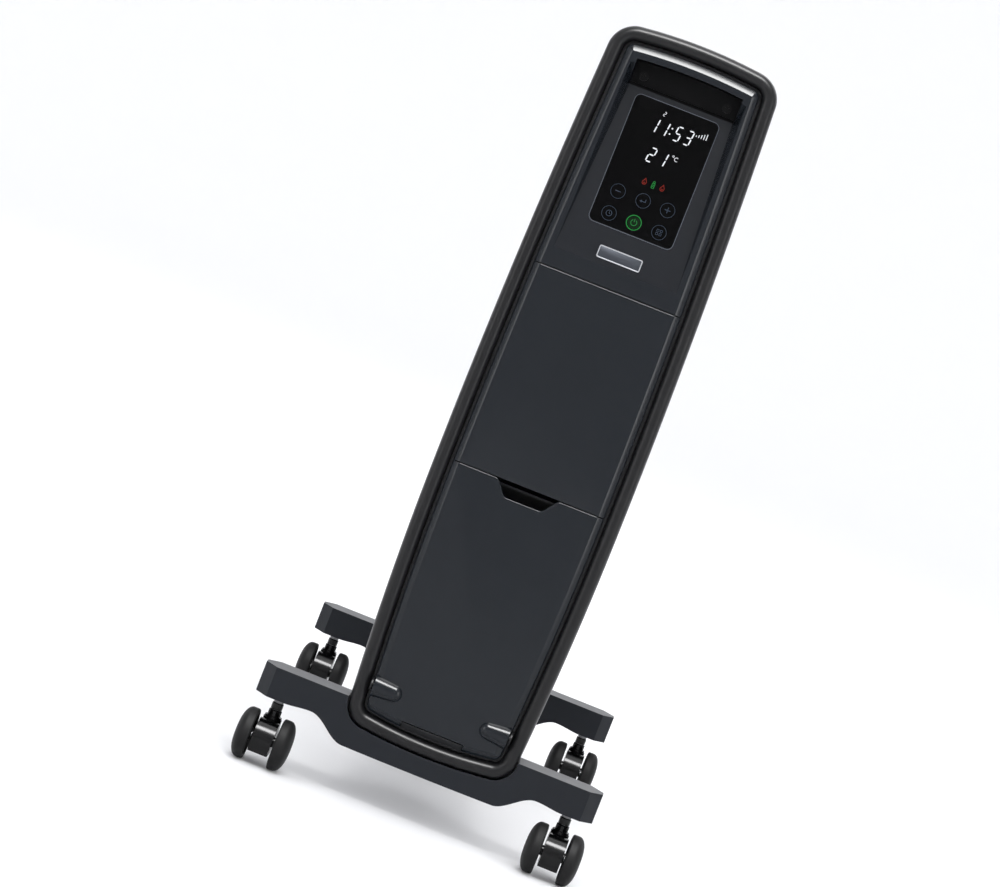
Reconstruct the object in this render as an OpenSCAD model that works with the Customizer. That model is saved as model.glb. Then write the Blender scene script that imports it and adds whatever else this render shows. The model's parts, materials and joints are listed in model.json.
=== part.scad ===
// Oil filled radiator heater on four twin-wheel castors.
// The row frame stands on the floor: +Z up, the control panel faces -Y, and the origin is on the floor
// under the middle of the bounding box. Depths are measured back from the face of the front panel.

/* [Case] */
// Half width of the case at its widest height
case_half_width = 76.8; // [75:0.1:79]
// Height of the top of the case above the floor
case_top = 639.7; // [638:0.1:655]
// Height of the underside of the case
case_bottom = 53.5; // [53:0.1:54]
// Distance from the front panel's face to the back panel's face
case_depth = 402; // [380:1:460]
// Depth of each plastic end housing, face to back wall
housing_depth = 60; // [60:1:64]
// Wall of the moulded housings
wall = 2.5; // [2:0.1:3]

/* [Front panel] */
// Half width of the panel at its widest height
panel_half_width = 62.1; // [61.5:0.1:62.5]
// Height of the panel's top edge
panel_top = 625.2; // [624:0.1:626]
// Height of the panel's bottom edge
panel_bottom = 68.2; // [68:0.1:69]
// Width of the sloped edge round the panel
chamfer = 5; // [4:0.5:5.5]
// Height of the joint between the control fascia and the middle panel
fascia_foot = 442.5; // [440:0.5:448]
// Height of the joint between the middle panel and the cord door
door_head = 277.5; // [275:0.5:285]
// Gap between neighbouring panels
panel_gap = 0.5; // [0.3:0.1:0.8]

/* [Display] */
// Height at which the sloped display face meets the panel
face_foot = 458; // [456:1:460]
// Height of the top edge of the display face
face_head = 596; // [595:0.5:597]
// Depth of the display face at its top edge
face_sink = 17; // [15:0.5:18]
// Width of the touch glass
glass_w = 69; // [64:0.5:71]
// Length of the touch glass along the face
glass_h = 104.6; // [98:0.1:106]

/* [Cord door] */
// Height of the hinge axis
hinge_z = 92; // [91.5:0.5:93]
// Depth of the hinge axis behind the panel's face
hinge_in = 3; // [2.5:0.5:3]
// Radius of the hinge pins
hinge_pin_r = 2; // [1.8:0.1:2]
// Half width of the finger notch
notch_half_w = 26.5; // [24:0.5:28]
// Depth of the finger notch
notch_drop = 12.2; // [9:0.1:14]

/* [Fins] */
// Number of oil filled fins
fin_count = 8; // [7:1:9]
// Half width of a fin
fin_half_w = 64; // [60:0.5:65]
// Width of a fin's folded side flange
flange_w = 26; // [20:1:27]
// Outer radius of a fin's oil channels
channel_r = 7; // [6:0.5:8]

/* [Feet] */
// Half length of a foot
foot_half_len = 140.5; // [138:0.5:144]
// Depth of a foot, front to back
foot_depth = 28; // [26:1:30]
// Height of the arms' top face
arm_top = 77; // [76:0.5:78]
// Height of the arms' underside at the castor
arm_foot = 52.5; // [51:0.5:53]

/* [Castors] */
// Diameter of a castor wheel
wheel_d = 41; // [38:0.5:42]
// Distance of a castor's stem from the middle plane
castor_x = 120.5; // [118:0.5:124]
// Distance of the wheels' axle from the stem
trail = 12; // [10:0.5:13]

/* [Hidden] */

anthracite = [0.16, 0.17, 0.19];
soft_black = [0.12, 0.12, 0.13];
gloss_black = [0.03, 0.03, 0.035];
steel = [0.62, 0.63, 0.65];
board_green = [0.05, 0.25, 0.12];
$fn = 48;
eps = 0.02;
above_all = 700;                               // a height above the whole heater
beyond = 100;                                  // a half width outside the case's sides

// ---- places -------------------------------------------------------------------------------------
wheel_r = wheel_d / 2;
foot_in = 2;                                   // depth at which the front foot begins
stem_in = foot_in + foot_depth / 2;            // depth of the front castors' stems
overhang = trail + wheel_r - stem_in;          // how far the front wheels stand out ahead of the panel
face_y = (overhang - case_depth) / 2;          // row Y of the front panel's face
mid_y = face_y + case_depth / 2;               // row Y of the case's middle
function at_depth(d) = face_y + d;

// ---- outline of the case and the panel ------------------------------------------------------------
// A shape is [half width, top, bottom, top corner radius, bottom corner radius, top arc's radius, bottom arc's
// radius]. Its sides are two long arcs that meet at the widest height, joined to the top and bottom arcs by tangent
// corner arcs.
side_radius_up = 6900;
side_radius_low = 2850;
widest_z = 272;
case_shape = [case_half_width, case_top, case_bottom, 22, 19, 400, 420];
panel_shape = [panel_half_width, panel_top, panel_bottom, 5.5, 6, 435, 330];
corner_steps = 7;
side_steps = 4;
end_steps = 6;
min_corner = 0.5;

function polar(v) = atan2(v[1], v[0]);
function arc(c, r, a0, a1, n) = [for (i = [0:n]) c + r * [cos(a0 + (a1 - a0) * i / n), sin(a0 + (a1 - a0) * i / n)]];
// Where two circles cross: pick is +1 or -1 for the side of the line between their centres.
function meet(a, ra, b, rb, pick) =
    let (d = b - a, l = norm(d), u = d / l, m = (ra * ra - rb * rb + l * l) / (2 * l))
    a + u * m + pick * sqrt(ra * ra - m * m) * [-u[1], u[0]];
function tail(list) = [for (i = [1:len(list) - 1]) list[i]];
// Right half of a shape drawn t further in, from bottom middle to top middle, as [x, z] points.
function half_outline(s, t) =
    let (
        up_c = [s[0] - side_radius_up, widest_z],
        low_c = [s[0] - side_radius_low, widest_z],
        top_c = [0, s[1] - s[5]],
        bottom_c = [0, s[2] + s[6]],
        r_up = max(min_corner, s[3] - t),
        r_low = max(min_corner, s[4] - t),
        up = meet(up_c, side_radius_up - t - r_up, top_c, s[5] - t - r_up, 1),
        low = meet(low_c, side_radius_low - t - r_low, bottom_c, s[6] - t - r_low, -1)
    )
    concat(
        arc(bottom_c, s[6] - t, -90, polar(low - bottom_c), end_steps),
        tail(arc(low, r_low, polar(low - bottom_c), polar(low - low_c), corner_steps)),
        tail(arc(low_c, side_radius_low - t, polar(low - low_c), 0, side_steps)),
        tail(arc(up_c, side_radius_up - t, 0, polar(up - up_c), side_steps)),
        tail(arc(up, r_up, polar(up - up_c), polar(up - top_c), corner_steps)),
        tail(arc(top_c, s[5] - t, polar(up - top_c), 90, end_steps)));
function outline(s, t = 0) =
    let (h = half_outline(s, t), n = len(h))
    concat(h, [for (i = [n - 2:-1:1]) [-h[i][0], h[i][1]]]);
// The shape k of the way from the case's outline (0) to the panel's (1), and on inwards above 1.
function between(k) = case_shape + (panel_shape - case_shape) * k;

// A flat plate of an outline, from depth d0 to depth d1.
module slab(s, t, d0, d1) {
    translate([0, at_depth(d1), 0]) rotate([90, 0, 0]) linear_extrude(d1 - d0) polygon(outline(s, t));
}
module ring(s_out, t_out, s_in, t_in, d0, d1) {
    difference() {
        slab(s_out, t_out, d0, d1);
        slab(s_in, t_in, d0 - 1, d1 + 1);
    }
}
// A box from corner [x0, d0, z0] to corner [x1, d1, z1], with depths for Y.
module block(a, b) {
    translate([a[0], at_depth(a[1]), a[2]]) cube(b - a);
}
// Rods along X, along the depth and along Z.
module rod_x(r, x0, x1, d, z) {
    translate([x0, at_depth(d), z]) rotate([0, 90, 0]) cylinder(r = r, h = x1 - x0);
}
module rod_d(r, x, z, d0, d1) {
    translate([x, at_depth(d1), z]) rotate([90, 0, 0]) cylinder(r = r, h = d1 - d0);
}
module rod_z(r, x, d, z0, z1) {
    translate([x, at_depth(d), z0]) cylinder(r = r, h = z1 - z0);
}
module both_sides() {
    children();
    mirror([1, 0, 0]) children();
}
// The back end is built in front coordinates and turned round.
module at_back() {
    translate([0, 2 * mid_y, 0]) mirror([0, 1, 0]) children();
}

// ---- bezel ----------------------------------------------------------------------------------------
bezel_depth = 16;
bezel_skin = 0.15;
bezel_inner_k = 0.83;
crest = [0.42, 0];
// Section of the bezel's hollow half-round, as [k, depth] points, round the outside and back inside.
bezel_section = [
    [0, bezel_depth], [0, 8], [0.04, 4.6], [0.13, 1.9], [0.26, 0.4], crest, [0.58, 0.7], [0.71, 2.6],
    [0.8, 5.4], [bezel_inner_k, 8.6], [bezel_inner_k, bezel_depth],
    [bezel_inner_k - bezel_skin, bezel_depth], [bezel_inner_k - bezel_skin, 8], [0.6, 4.6], [0.42, 3],
    [0.27, 3.6], [bezel_skin, 7.6], [bezel_skin, bezel_depth]];

module bezel() {
    n = len(outline(case_shape));
    m = len(bezel_section);
    points = [for (p = bezel_section) for (q = outline(between(p[0]))) [q[0], at_depth(p[1]), q[1]]];
    faces = [for (j = [0:m - 1]) for (i = [0:n - 1])
        let (a = j * n + i, b = j * n + (i + 1) % n, c = ((j + 1) % m) * n + (i + 1) % n, d = ((j + 1) % m) * n + i)
        each [[a, b, c], [a, c, d]]];
    polyhedron(points = points, faces = faces);
}
module front_bezel() { color(soft_black) bezel(); }
module back_bezel() { color(soft_black) at_back() bezel(); }

// ---- housing --------------------------------------------------------------------------------------
shell_in = 1;                    // the housing stands this far inside the bezel's outline
collar_out_k = 0.84;
collar_in_k = 0.96;
seat_in_k = 1.4;                 // inner edge of the seat that the panels rest on
seat_d = 9;                      // depth of the panels' back edges
seat_low = 102;                  // the seat stops here, so that the door's tail can swing in
door_edge = panel_half_width - pow(widest_z - hinge_z, 2) / (2 * side_radius_low);   // at the hinge
header_low_z = 118;
header_high_z = 588;
ear_r = 4.6;
ear_x0 = door_edge + 0.5;
ear_x1 = door_edge + 2;
tab_half_w = 25.2;
tab_in = 0.3;                     // the tab's face stands this far behind the door's
tab_top = 73.8;
plug_hole_r = 20;
wire_hole_r = 9;
cutout_z = 360;
screw_x = 36;                    // foot screws
screw_d = 23;
screw_r = 2.5;
screw_slack = 0.25;
nut_r = 4.6;

module foot_screw_holes() {
    both_sides() rod_z(screw_r + screw_slack, screw_x, screw_d, case_bottom - 30, case_bottom + 8);
}
module housing_tray() {
    front_wall_d = bezel_depth;
    ring(case_shape, shell_in, case_shape, shell_in + wall, front_wall_d, housing_depth);
    ring(case_shape, shell_in + 0.4, between(collar_in_k), 0, front_wall_d, front_wall_d + wall);
    ring(between(collar_out_k), 0, between(collar_in_k), 0, seat_d, front_wall_d + wall);
    slab(case_shape, shell_in + 0.4, housing_depth - wall, housing_depth);
}
module panel_seat(low, high) {
    intersection() {
        ring(between(collar_out_k), 0, between(seat_in_k), 0, seat_d, seat_d + wall);
        block([-beyond, 0, low], [beyond, housing_depth, high]);
    }
}
module hinge_ears() {
    both_sides() {
        rod_x(ear_r, ear_x0, ear_x1, hinge_in, hinge_z);
        block([ear_x0, hinge_in, hinge_z - ear_r], [ear_x1, seat_d + wall, hinge_z + ear_r]);
    }
}
module front_housing() {
    color(anthracite) difference() {
        union() {
            housing_tray();
            panel_seat(seat_low, above_all);
            hinge_ears();
            // tab that fills the notch in the door's bottom edge
            intersection() {
                panel_solid(0, tab_in);
                block([-tab_half_w, 0, panel_bottom - 1], [tab_half_w, seat_d + wall, tab_top]);
            }
            block([-tab_half_w, seat_d - 1, panel_bottom - 1.6], [tab_half_w, seat_d + wall, tab_top]);
        }
        both_sides() rod_x(hinge_pin_r, 50, ear_x1 + 1, hinge_in, hinge_z);
        foot_screw_holes();
        rod_d(plug_hole_r, 0, header_low_z, housing_depth - wall - 1, housing_depth + 1);
        rod_d(wire_hole_r, 0, cutout_z, housing_depth - wall - 1, housing_depth + 1);
    }
}
module back_housing() {
    color(anthracite) at_back() difference() {
        union() {
            housing_tray();
            panel_seat(0, above_all);
        }
        foot_screw_holes();
        rod_d(plug_hole_r, 0, header_low_z, housing_depth - wall - 1, housing_depth + 1);
    }
}

// ---- panels -----------------------------------------------------------------------------------------
chamfer_d = 4;
panel_back = seat_d;

module panel_solid(inset, front) {
    hull() {
        slab(panel_shape, inset, front + chamfer_d, panel_back + 3 * sign(inset));
        slab(panel_shape, inset + chamfer * (1 - 0.25 * sign(inset)), front, front + eps);
    }
}
module band(low, high) {
    block([-beyond, -10, low], [beyond, housing_depth, high]);
}
// A hollow piece of the chamfered panel between two heights, open at the back.
module panel_shell(low, high, skin = wall) {
    difference() {
        intersection() {
            panel_solid(0, 0);
            band(low, high);
        }
        intersection() {
            panel_solid(skin, skin);
            band(low + skin, high - skin);
        }
    }
}
module middle_panel() {
    color(anthracite) panel_shell(door_head + panel_gap / 2, fascia_foot - panel_gap / 2);
}

// ---- control fascia ---------------------------------------------------------------------------------
face_tilt = atan(face_sink / (face_head - face_foot));
face_foot_half = 50;
face_head_half = 42;
mouth_half = 47;                 // half width of the pocket's mouth at its top
mouth_top = 612;
recess_half = 43;
recess_low = 594;
recess_top = 615.2;               // at its middle: the top is an arc
recess_arc = 435;
recess_sink = 23;
tub_skin = 2.2;
glass_mid = 80.9;                  // distance of the glass's middle up the sloped face
glass_t = 2.6;
glass_corner = 5;
plate_t = 1.5;
plate_screw_x = 34;
plate_screw_z = 603.3;
plate_screw_r = 1.5;

// Places children on the sloped display face: x across, y up the face, z out of it.
module on_face() {
    translate([0, face_y, face_foot]) rotate([90 - face_tilt, 0, 0]) children();
}
module bar(half, d, z) {
    block([-half, d, z], [half, d + eps, z + eps]);
}
// The pocket that the display face is the floor of, and the deeper recess above it.
module pocket(grow, ahead) {
    hull() {
        bar(face_foot_half + grow, ahead, face_foot - grow);
        bar(face_foot_half + grow, grow, face_foot - grow);
        bar(mouth_half + grow, ahead, mouth_top + grow);
        bar(mouth_half + grow, grow, mouth_top + grow);
        bar(face_head_half + grow, face_sink + grow, face_head + grow);
    }
}
module recess_arch(grow, d0, d1) {
    rod_d(recess_arc + grow, 0, recess_top - recess_arc, d0, d1, $fn = 360);
}
module recess(grow, ahead) {
    intersection() {
        block([-recess_half - grow, ahead, recess_low - grow], [recess_half + grow, recess_sink + grow, recess_top + grow]);
        recess_arch(grow, ahead - 1, recess_sink + grow + 1);
    }
}
module rounded_plate(w, h, t, r) {
    linear_extrude(t) hull() for (x = [-1, 1]) for (y = [-1, 1])
        translate([x * (w / 2 - r), y * (h / 2 - r)]) circle(r = r);
}
module recess_screw_shanks(r, d0, d1) {
    both_sides() rod_d(r, plate_screw_x, plate_screw_z, d0, d1);
}
module control_fascia() {
    color(anthracite) difference() {
        union() {
            panel_shell(fascia_foot + panel_gap / 2, above_all);
            pocket(tub_skin, 1);
            recess(tub_skin, 2);
        }
        pocket(0, -3);
        recess(0, -3);
        on_face() translate([0, glass_mid, -20]) rounded_plate(glass_w, glass_h, 30, glass_corner);
        recess_screw_shanks(plate_screw_r + 0.1, recess_sink - 1, recess_sink + tub_skin + 1);
    }
}
module touch_glass() {
    color(gloss_black) on_face() translate([0, glass_mid, -glass_t])
        rounded_plate(glass_w - 0.2, glass_h - 0.2, glass_t + 0.2, glass_corner);
}
led_t = 4;
module led_display() {
    color("white") on_face() translate([-26, glass_mid - 4, -glass_t - led_t]) cube([52, 50, led_t]);
}
module display_board() {
    color(board_green) on_face() translate([-30, glass_mid - 48, -glass_t - led_t - 1.6]) cube([60, 100, 1.6]);
}
module recess_plate() {
    color(soft_black) difference() {
        intersection() {
            block([-recess_half + 0.3, recess_sink - plate_t, face_head + 0.6], [recess_half - 0.3, recess_sink, recess_top]);
            recess_arch(-0.3, recess_sink - 5, recess_sink + 1);
        }
        recess_screw_shanks(plate_screw_r + 0.1, recess_sink - 5, recess_sink + 1);
    }
}
module recess_screws() {
    head_d = recess_sink - plate_t;
    color(gloss_black) both_sides() difference() {
        union() {
            rod_d(plate_screw_r, plate_screw_x, plate_screw_z, head_d - 1, head_d + 12);
            rod_d(3.6, plate_screw_x, plate_screw_z, head_d - 2, head_d);
        }
        for (turn = [0, 90])
            translate([plate_screw_x, at_depth(head_d - 2), plate_screw_z]) rotate([0, turn, 0]) cube([4, 2, 0.9], center = true);
    }
}
plate_w = 35.2;
plate_h = 9.9;
plate_v = 9.4;                    // height of the plate's middle up the face
module name_plate() {
    color(steel) on_face() translate([0, plate_v, 0]) rounded_plate(plate_w, plate_h, 0.8, 1.5);
}

// ---- cord door --------------------------------------------------------------------------------------
knuckle_r = 9.2;
knuckle_tip_r = 7.3;
knuckle_out = door_edge - 0.4;   // the knuckles' outer ends
knuckle_in = 39;
notch_flat = 13.5;               // half width of the notch's level bottom
notch_steps = 8;
door_tail_gap = 0.5;

// Outline of the finger notch: a level bottom with S-shaped sides, w wider and d deeper if grown.
function notch_side(grow) = [for (i = [0:notch_steps])
    [notch_flat + grow + (notch_half_w - notch_flat) * i / notch_steps,
     door_head - notch_drop - grow + notch_drop * (1 - cos(180 * i / notch_steps)) / 2]];
module notch(grow, d0, d1) {
    s = notch_side(grow);
    left = [for (i = [notch_steps:-1:0]) [-s[i][0], s[i][1]]];
    top = door_head + 2;
    translate([0, at_depth(d1), 0]) rotate([90, 0, 0]) linear_extrude(d1 - d0)
        polygon(concat([[-notch_half_w - grow, top]], left, s, [[notch_half_w + grow, top]]));
}
module knuckle() {
    translate([knuckle_in, at_depth(hinge_in), hinge_z]) {
        rotate([0, 90, 0]) cylinder(r1 = knuckle_tip_r, r2 = knuckle_r, h = knuckle_out - knuckle_in);
        sphere(r = knuckle_tip_r);
    }
}
module cord_door() {
    low = panel_bottom - 1;
    high = door_head - panel_gap / 2;
    color(anthracite) difference() {
        union() {
            difference() {
                panel_shell(low, high);
                notch(0, -5, 20);
            }
            // wall behind the notch's edge
            intersection() {
                difference() {
                    notch(2.2, 1, panel_back);
                    notch(0, -5, 20);
                }
                band(low, high);
            }
            both_sides() knuckle();
        }
        both_sides() rod_x(hinge_pin_r + 0.06, 46, 60, hinge_in, hinge_z);
        block([-tab_half_w - door_tail_gap, -5, 60], [tab_half_w + door_tail_gap, 20, tab_top + door_tail_gap + 0.3]);
    }
}
module hinge_pins() {
    color(steel) both_sides() rod_x(hinge_pin_r, 47, ear_x1, hinge_in, hinge_z);
}

// ---- cord bay and gland -------------------------------------------------------------------------------
bay_out_k = 0.78;
bay_in_k = 0.92;
bay_front = bezel_depth + wall;
bay_back = 52;
bay_head = 271;
bay_wall = 2.2;
gland_x = 34;
gland_d = 36;
gland_bore_r = 3.75;
gland_r = 7;
gland_z = bay_head - 4;
gland_len = 18;

// Everything within the bay's outline, in front of its back wall.
module bay_block(low, high) {
    intersection() {
        slab(between(bay_out_k), 0, bay_front, bay_back);
        band(low, high);
    }
}
module cord_bay() {
    color(soft_black) difference() {
        bay_block(0, bay_head);
        slab(between(bay_in_k), 0, bay_front - 1, bay_back - bay_wall);
    }
}
// The bay's ceiling, which carries the gland.
module gland_plate() {
    color(soft_black) difference() {
        bay_block(bay_head, bay_head + bay_wall);
        rod_z(gland_r, gland_x, gland_d, bay_head - 1, bay_head + bay_wall + 1);
    }
}
module cord_gland() {
    color(gloss_black) difference() {
        union() {
            rod_z(gland_r, gland_x, gland_d, gland_z, gland_z + gland_len);
            rod_z(gland_r + 2, gland_x, gland_d, gland_z, bay_head);
            rod_z(gland_r + 2, gland_x, gland_d, bay_head + bay_wall, bay_head + bay_wall + 4);
        }
        rod_z(gland_bore_r, gland_x, gland_d, gland_z - 1, gland_z + gland_len + 1);
    }
}

// ---- electronics --------------------------------------------------------------------------------------
board_d = 50;
board_low = 300;
board_high = 430;
board_t = 1.6;

module power_board() {
    color(board_green) {
        block([-48, board_d, board_low], [48, board_d + board_t, board_high]);
        for (x = [-42, 42]) for (z = [board_low + 6, board_high - 6])
            rod_d(3, x, z, board_d + board_t, housing_depth - wall);
    }
}
module relays() {
    color("steelblue") for (x = [-34, -12]) block([x - 8, board_d - 16, 392], [x + 8, board_d, 418]);
}
module transformer() {
    color("goldenrod") {
        block([-42, board_d - 24, 326], [-14, board_d - 4, 350]);
        block([-38, board_d - 20, 318], [-18, board_d - 8, 326]);
        block([-38, board_d - 20, 350], [-18, board_d - 8, 358]);
        for (x = [-36, -20]) rod_d(1, x, 338, board_d - 4, board_d);
    }
}
module terminal_block() {
    color("ivory") difference() {
        block([6, board_d - 14, 304], [46, board_d, 318]);
        for (i = [0:3]) rod_z(2.5, 11 + 10 * i, board_d - 8, 303, 312);
    }
}

// Tip-over switch: a weight that hangs on a pivot inside a small case.
tilt_x = 26;
tilt_z = 398;
tilt_half_w = 17.5;
tilt_d0 = board_d - 20;
tilt_low = tilt_z - 26;
tilt_high = tilt_z + 8;
bob_drop = 15;
bob_r = 6.5;

module tilt_switch_case() {
    color("dimgray") {
        difference() {
            block([tilt_x - tilt_half_w, tilt_d0, tilt_low], [tilt_x + tilt_half_w, board_d, tilt_high]);
            block([tilt_x - tilt_half_w + 1.5, tilt_d0 + 1.5, tilt_low + 1.5],
                  [tilt_x + tilt_half_w - 1.5, board_d - 1.5, tilt_high - 1.5]);
        }
        rod_d(1.5, tilt_x, tilt_z, tilt_d0 + 1, board_d - 1);
    }
}
module tilt_pendulum() {
    d0 = tilt_d0 + 6;
    d1 = board_d - 6;
    color("brown") difference() {
        union() {
            rod_d(3.2, tilt_x, tilt_z, d0, d1);
            block([tilt_x - 1.5, d0, tilt_z - bob_drop], [tilt_x + 1.5, d1, tilt_z]);
            rod_d(bob_r, tilt_x, tilt_z - bob_drop, d0, d1);
        }
        rod_d(1.56, tilt_x, tilt_z, d0 - 1, d1 + 1);
    }
}

// ---- fin pack -----------------------------------------------------------------------------------------
plate_end_t = 1.5;
fin_pitch = (case_depth - 2 * housing_depth) / fin_count;
fin_low = 84;
fin_high = 624;
fin_corner = 20;
fin_skin = 1.2;                  // two welded sheets
channel_wall = 0.8;              // one sheet
channel_x = 34;
header_r = 19;
header_bore_r = 14;
boss_r = 24;
leg_gap = 6.5;                   // half the distance between the element's two legs
element_r = 4;
function fin_d(i) = housing_depth + fin_pitch * (i - 0.5);

module fin_gallery(r) {
    for (x = [-channel_x, 0, channel_x]) translate([x, 0, header_low_z]) cylinder(r = r, h = header_high_z - header_low_z);
    for (z = [header_low_z, header_high_z]) {
        for (x = [-channel_x, channel_x]) translate([x, 0, z]) sphere(r = r);
        translate([-channel_x, 0, z]) rotate([0, 90, 0]) cylinder(r = r, h = 2 * channel_x);
        translate([0, r, z]) rotate([90, 0, 0]) cylinder(r = boss_r - channel_r + r, h = 2 * r);
    }
}
module fin(i) {
    color(anthracite) translate([0, at_depth(fin_d(i)), 0]) difference() {
        union() {
            fin_gallery(channel_r);
            translate([0, fin_skin / 2, (fin_low + fin_high) / 2]) rotate([90, 0, 0])
                rounded_plate(2 * fin_half_w, fin_high - fin_low, fin_skin, fin_corner);
            both_sides() translate([fin_half_w - fin_skin, -flange_w / 2, fin_low + fin_corner])
                cube([fin_skin, flange_w, fin_high - fin_low - 2 * fin_corner]);
        }
        fin_gallery(channel_r - channel_wall);
        for (z = [header_low_z, header_high_z])
            translate([0, 20, z]) rotate([90, 0, 0]) cylinder(r = header_bore_r, h = 40);
    }
}
// Tubes between the fins, and between the end fins and the end plates.
module header(z, front_end, back_end) {
    function start(i) = i == 0 ? front_end : fin_d(i) + channel_r;
    function stop(i) = i == fin_count ? back_end : fin_d(i + 1) - channel_r;
    color(anthracite) for (i = [0:fin_count]) difference() {
        rod_d(header_r, 0, z, start(i), stop(i));
        rod_d(header_bore_r, 0, z, start(i) - 1, stop(i) + 1);
    }
}
end_in = housing_depth + plate_end_t;
module top_header() { header(header_high_z, end_in, case_depth - end_in); }
module bottom_header() { header(header_low_z, end_in, case_depth - end_in); }
// Steel plate that closes the top header, holds the fins and screws to the housing.
module end_plate() {
    difference() {
        slab(case_shape, 8, housing_depth, housing_depth + plate_end_t);
        rod_d(header_bore_r, 0, header_low_z, housing_depth - 1, housing_depth + 5);
    }
}
module front_end_plate() {
    color(steel) difference() {
        end_plate();
        rod_d(wire_hole_r, 0, cutout_z, housing_depth - 1, housing_depth + 5);
    }
}
module back_end_plate() { color(steel) at_back() end_plate(); }

plug_hex_t = 6;
module element_plug() {
    color("goldenrod") difference() {
        union() {
            translate([0, at_depth(housing_depth), header_low_z]) rotate([90, 0, 0]) cylinder(r = 19, h = plug_hex_t, $fn = 6);
            rod_d(header_bore_r, 0, header_low_z, housing_depth, end_in + 6);
        }
        both_sides() rod_d(element_r, leg_gap, header_low_z, housing_depth - 20, end_in + 10);
    }
}
element_reach = 300;             // depth of the element's bend
module heating_element() {
    color(steel) {
        both_sides() rod_d(element_r, leg_gap, header_low_z, housing_depth - plug_hex_t - 1.4, element_reach);
        translate([0, at_depth(element_reach), header_low_z]) rotate_extrude(angle = 180)
            translate([leg_gap, 0]) circle(r = element_r);
    }
}
module oil_filler_plug() {
    color("goldenrod") at_back() {
        translate([0, at_depth(housing_depth), header_low_z]) rotate([90, 0, 0]) cylinder(r = 12, h = 6, $fn = 6);
        rod_d(header_bore_r, 0, header_low_z, housing_depth, end_in + 6);
    }
}
module thermal_cutout() {
    color("ivory") {
        rod_d(wire_hole_r, 0, cutout_z, housing_depth - wall - 3, end_in + 4);
        rod_d(wire_hole_r - 3, 0, cutout_z, end_in, fin_d(1) - channel_r);
    }
}

// ---- back panel -----------------------------------------------------------------------------------------
grip_half = 40;
grip_low = 560;
grip_top = 596;
grip_sink = 26;
module back_panel() {
    color(anthracite) at_back() difference() {
        union() {
            panel_shell(0, above_all);
            block([-grip_half - wall, 2, grip_low - wall], [grip_half + wall, grip_sink + wall, grip_top + wall]);
        }
        block([-grip_half, -3, grip_low], [grip_half, grip_sink, grip_top]);
    }
}

// ---- feet -------------------------------------------------------------------------------------------------
cradle_gap = 0.3;
belly_mid = 38.2;                // underside at the middle
belly_low = 38.6;                // underside at the belly's corners
belly_x = 62;
shoulder_x = 94;
shoulder_z = 54.5;
tip_bevel = 10;
foot_wall = 3;
socket_r = 7;
stem_r = 3;
stem_top = 68;
blend_steps = 8;

function ease(u) = (1 - cos(180 * u)) / 2;
function glide(x0, z0, x1, z1) = [for (i = [0:blend_steps]) let (u = i / blend_steps) [x0 + (x1 - x0) * u, z0 + (z1 - z0) * ease(u)]];
function foot_under() = concat(
    [for (i = [0:4]) let (x = belly_x * i / 4) [x, belly_mid - (belly_mid - belly_low) * pow(x / belly_x, 2)]],
    tail(glide(belly_x, belly_low, shoulder_x, shoulder_z)),
    tail(glide(shoulder_x, shoulder_z, castor_x - 4, arm_foot)),
    [[foot_half_len, arm_foot]]);
function cradle(gap) = [for (p = half_outline(case_shape, gap)) if (p[1] < arm_top) p];
module half_foot_profile(gap) {
    c = cradle(gap);
    n = len(c);
    polygon(concat(foot_under(), [[foot_half_len, arm_top], [c[n - 1][0] + 0.6, arm_top]], [for (i = [n - 1:-1:0]) c[i]]));
}
module foot_bar(gap, d0, d1) {
    translate([0, at_depth(d1), 0]) rotate([90, 0, 0]) linear_extrude(d1 - d0) {
        half_foot_profile(gap);
        mirror([1, 0]) half_foot_profile(gap);
    }
}
// Plan of the foot: the arms' tips are cut back at both edges.
module foot_plan() {
    l = foot_half_len;
    d0 = at_depth(foot_in);
    d1 = at_depth(foot_in + foot_depth);
    linear_extrude(above_all) polygon([
        [-l, d0 + tip_bevel], [-l + tip_bevel, d0], [l - tip_bevel, d0], [l, d0 + tip_bevel],
        [l, d1 - tip_bevel], [l - tip_bevel, d1], [-l + tip_bevel, d1], [-l, d1 - tip_bevel]]);
}
module foot() {
    x0 = shoulder_x - 4;
    x1 = foot_half_len - tip_bevel;
    d0 = foot_in + foot_wall;
    d1 = foot_in + foot_depth - foot_wall;
    difference() {
        intersection() {
            union() {
                foot_bar(-cradle_gap, foot_in, bezel_depth);
                foot_bar(shell_in, bezel_depth, foot_in + foot_depth);
            }
            foot_plan();
        }
        // the arms are hollow from below, with a socket for each castor's stem
        both_sides() difference() {
            block([x0, d0, 30], [x1, d1, arm_top - foot_wall]);
            rod_z(socket_r, castor_x, stem_in, 30, arm_top);
        }
        both_sides() rod_z(stem_r, castor_x, stem_in, 30, stem_top);
        foot_screw_holes();
        both_sides() rod_z(5, screw_x, screw_d, 30, belly_low + counterbore);
    }
}
module front_foot() { color(anthracite) foot(); }
module back_foot() { color(anthracite) at_back() foot(); }
counterbore = 6;                 // depth of the recesses under the foot screws' heads
module screw_set() {
    head_z = belly_low + counterbore;
    floor_z = case_bottom + shell_in + wall + pow(screw_x + nut_r, 2) / (2 * case_shape[6]) + 0.1;
    both_sides() {
        rod_z(4.5, screw_x, screw_d, head_z - 3.5, head_z);
        rod_z(screw_r, screw_x, screw_d, head_z - 1, floor_z + 5);
        translate([screw_x, at_depth(screw_d), floor_z]) cylinder(r = nut_r, h = 4, $fn = 6);
    }
}
module foot_screws() {
    color(steel) {
        screw_set();
        at_back() screw_set();
    }
}

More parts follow.
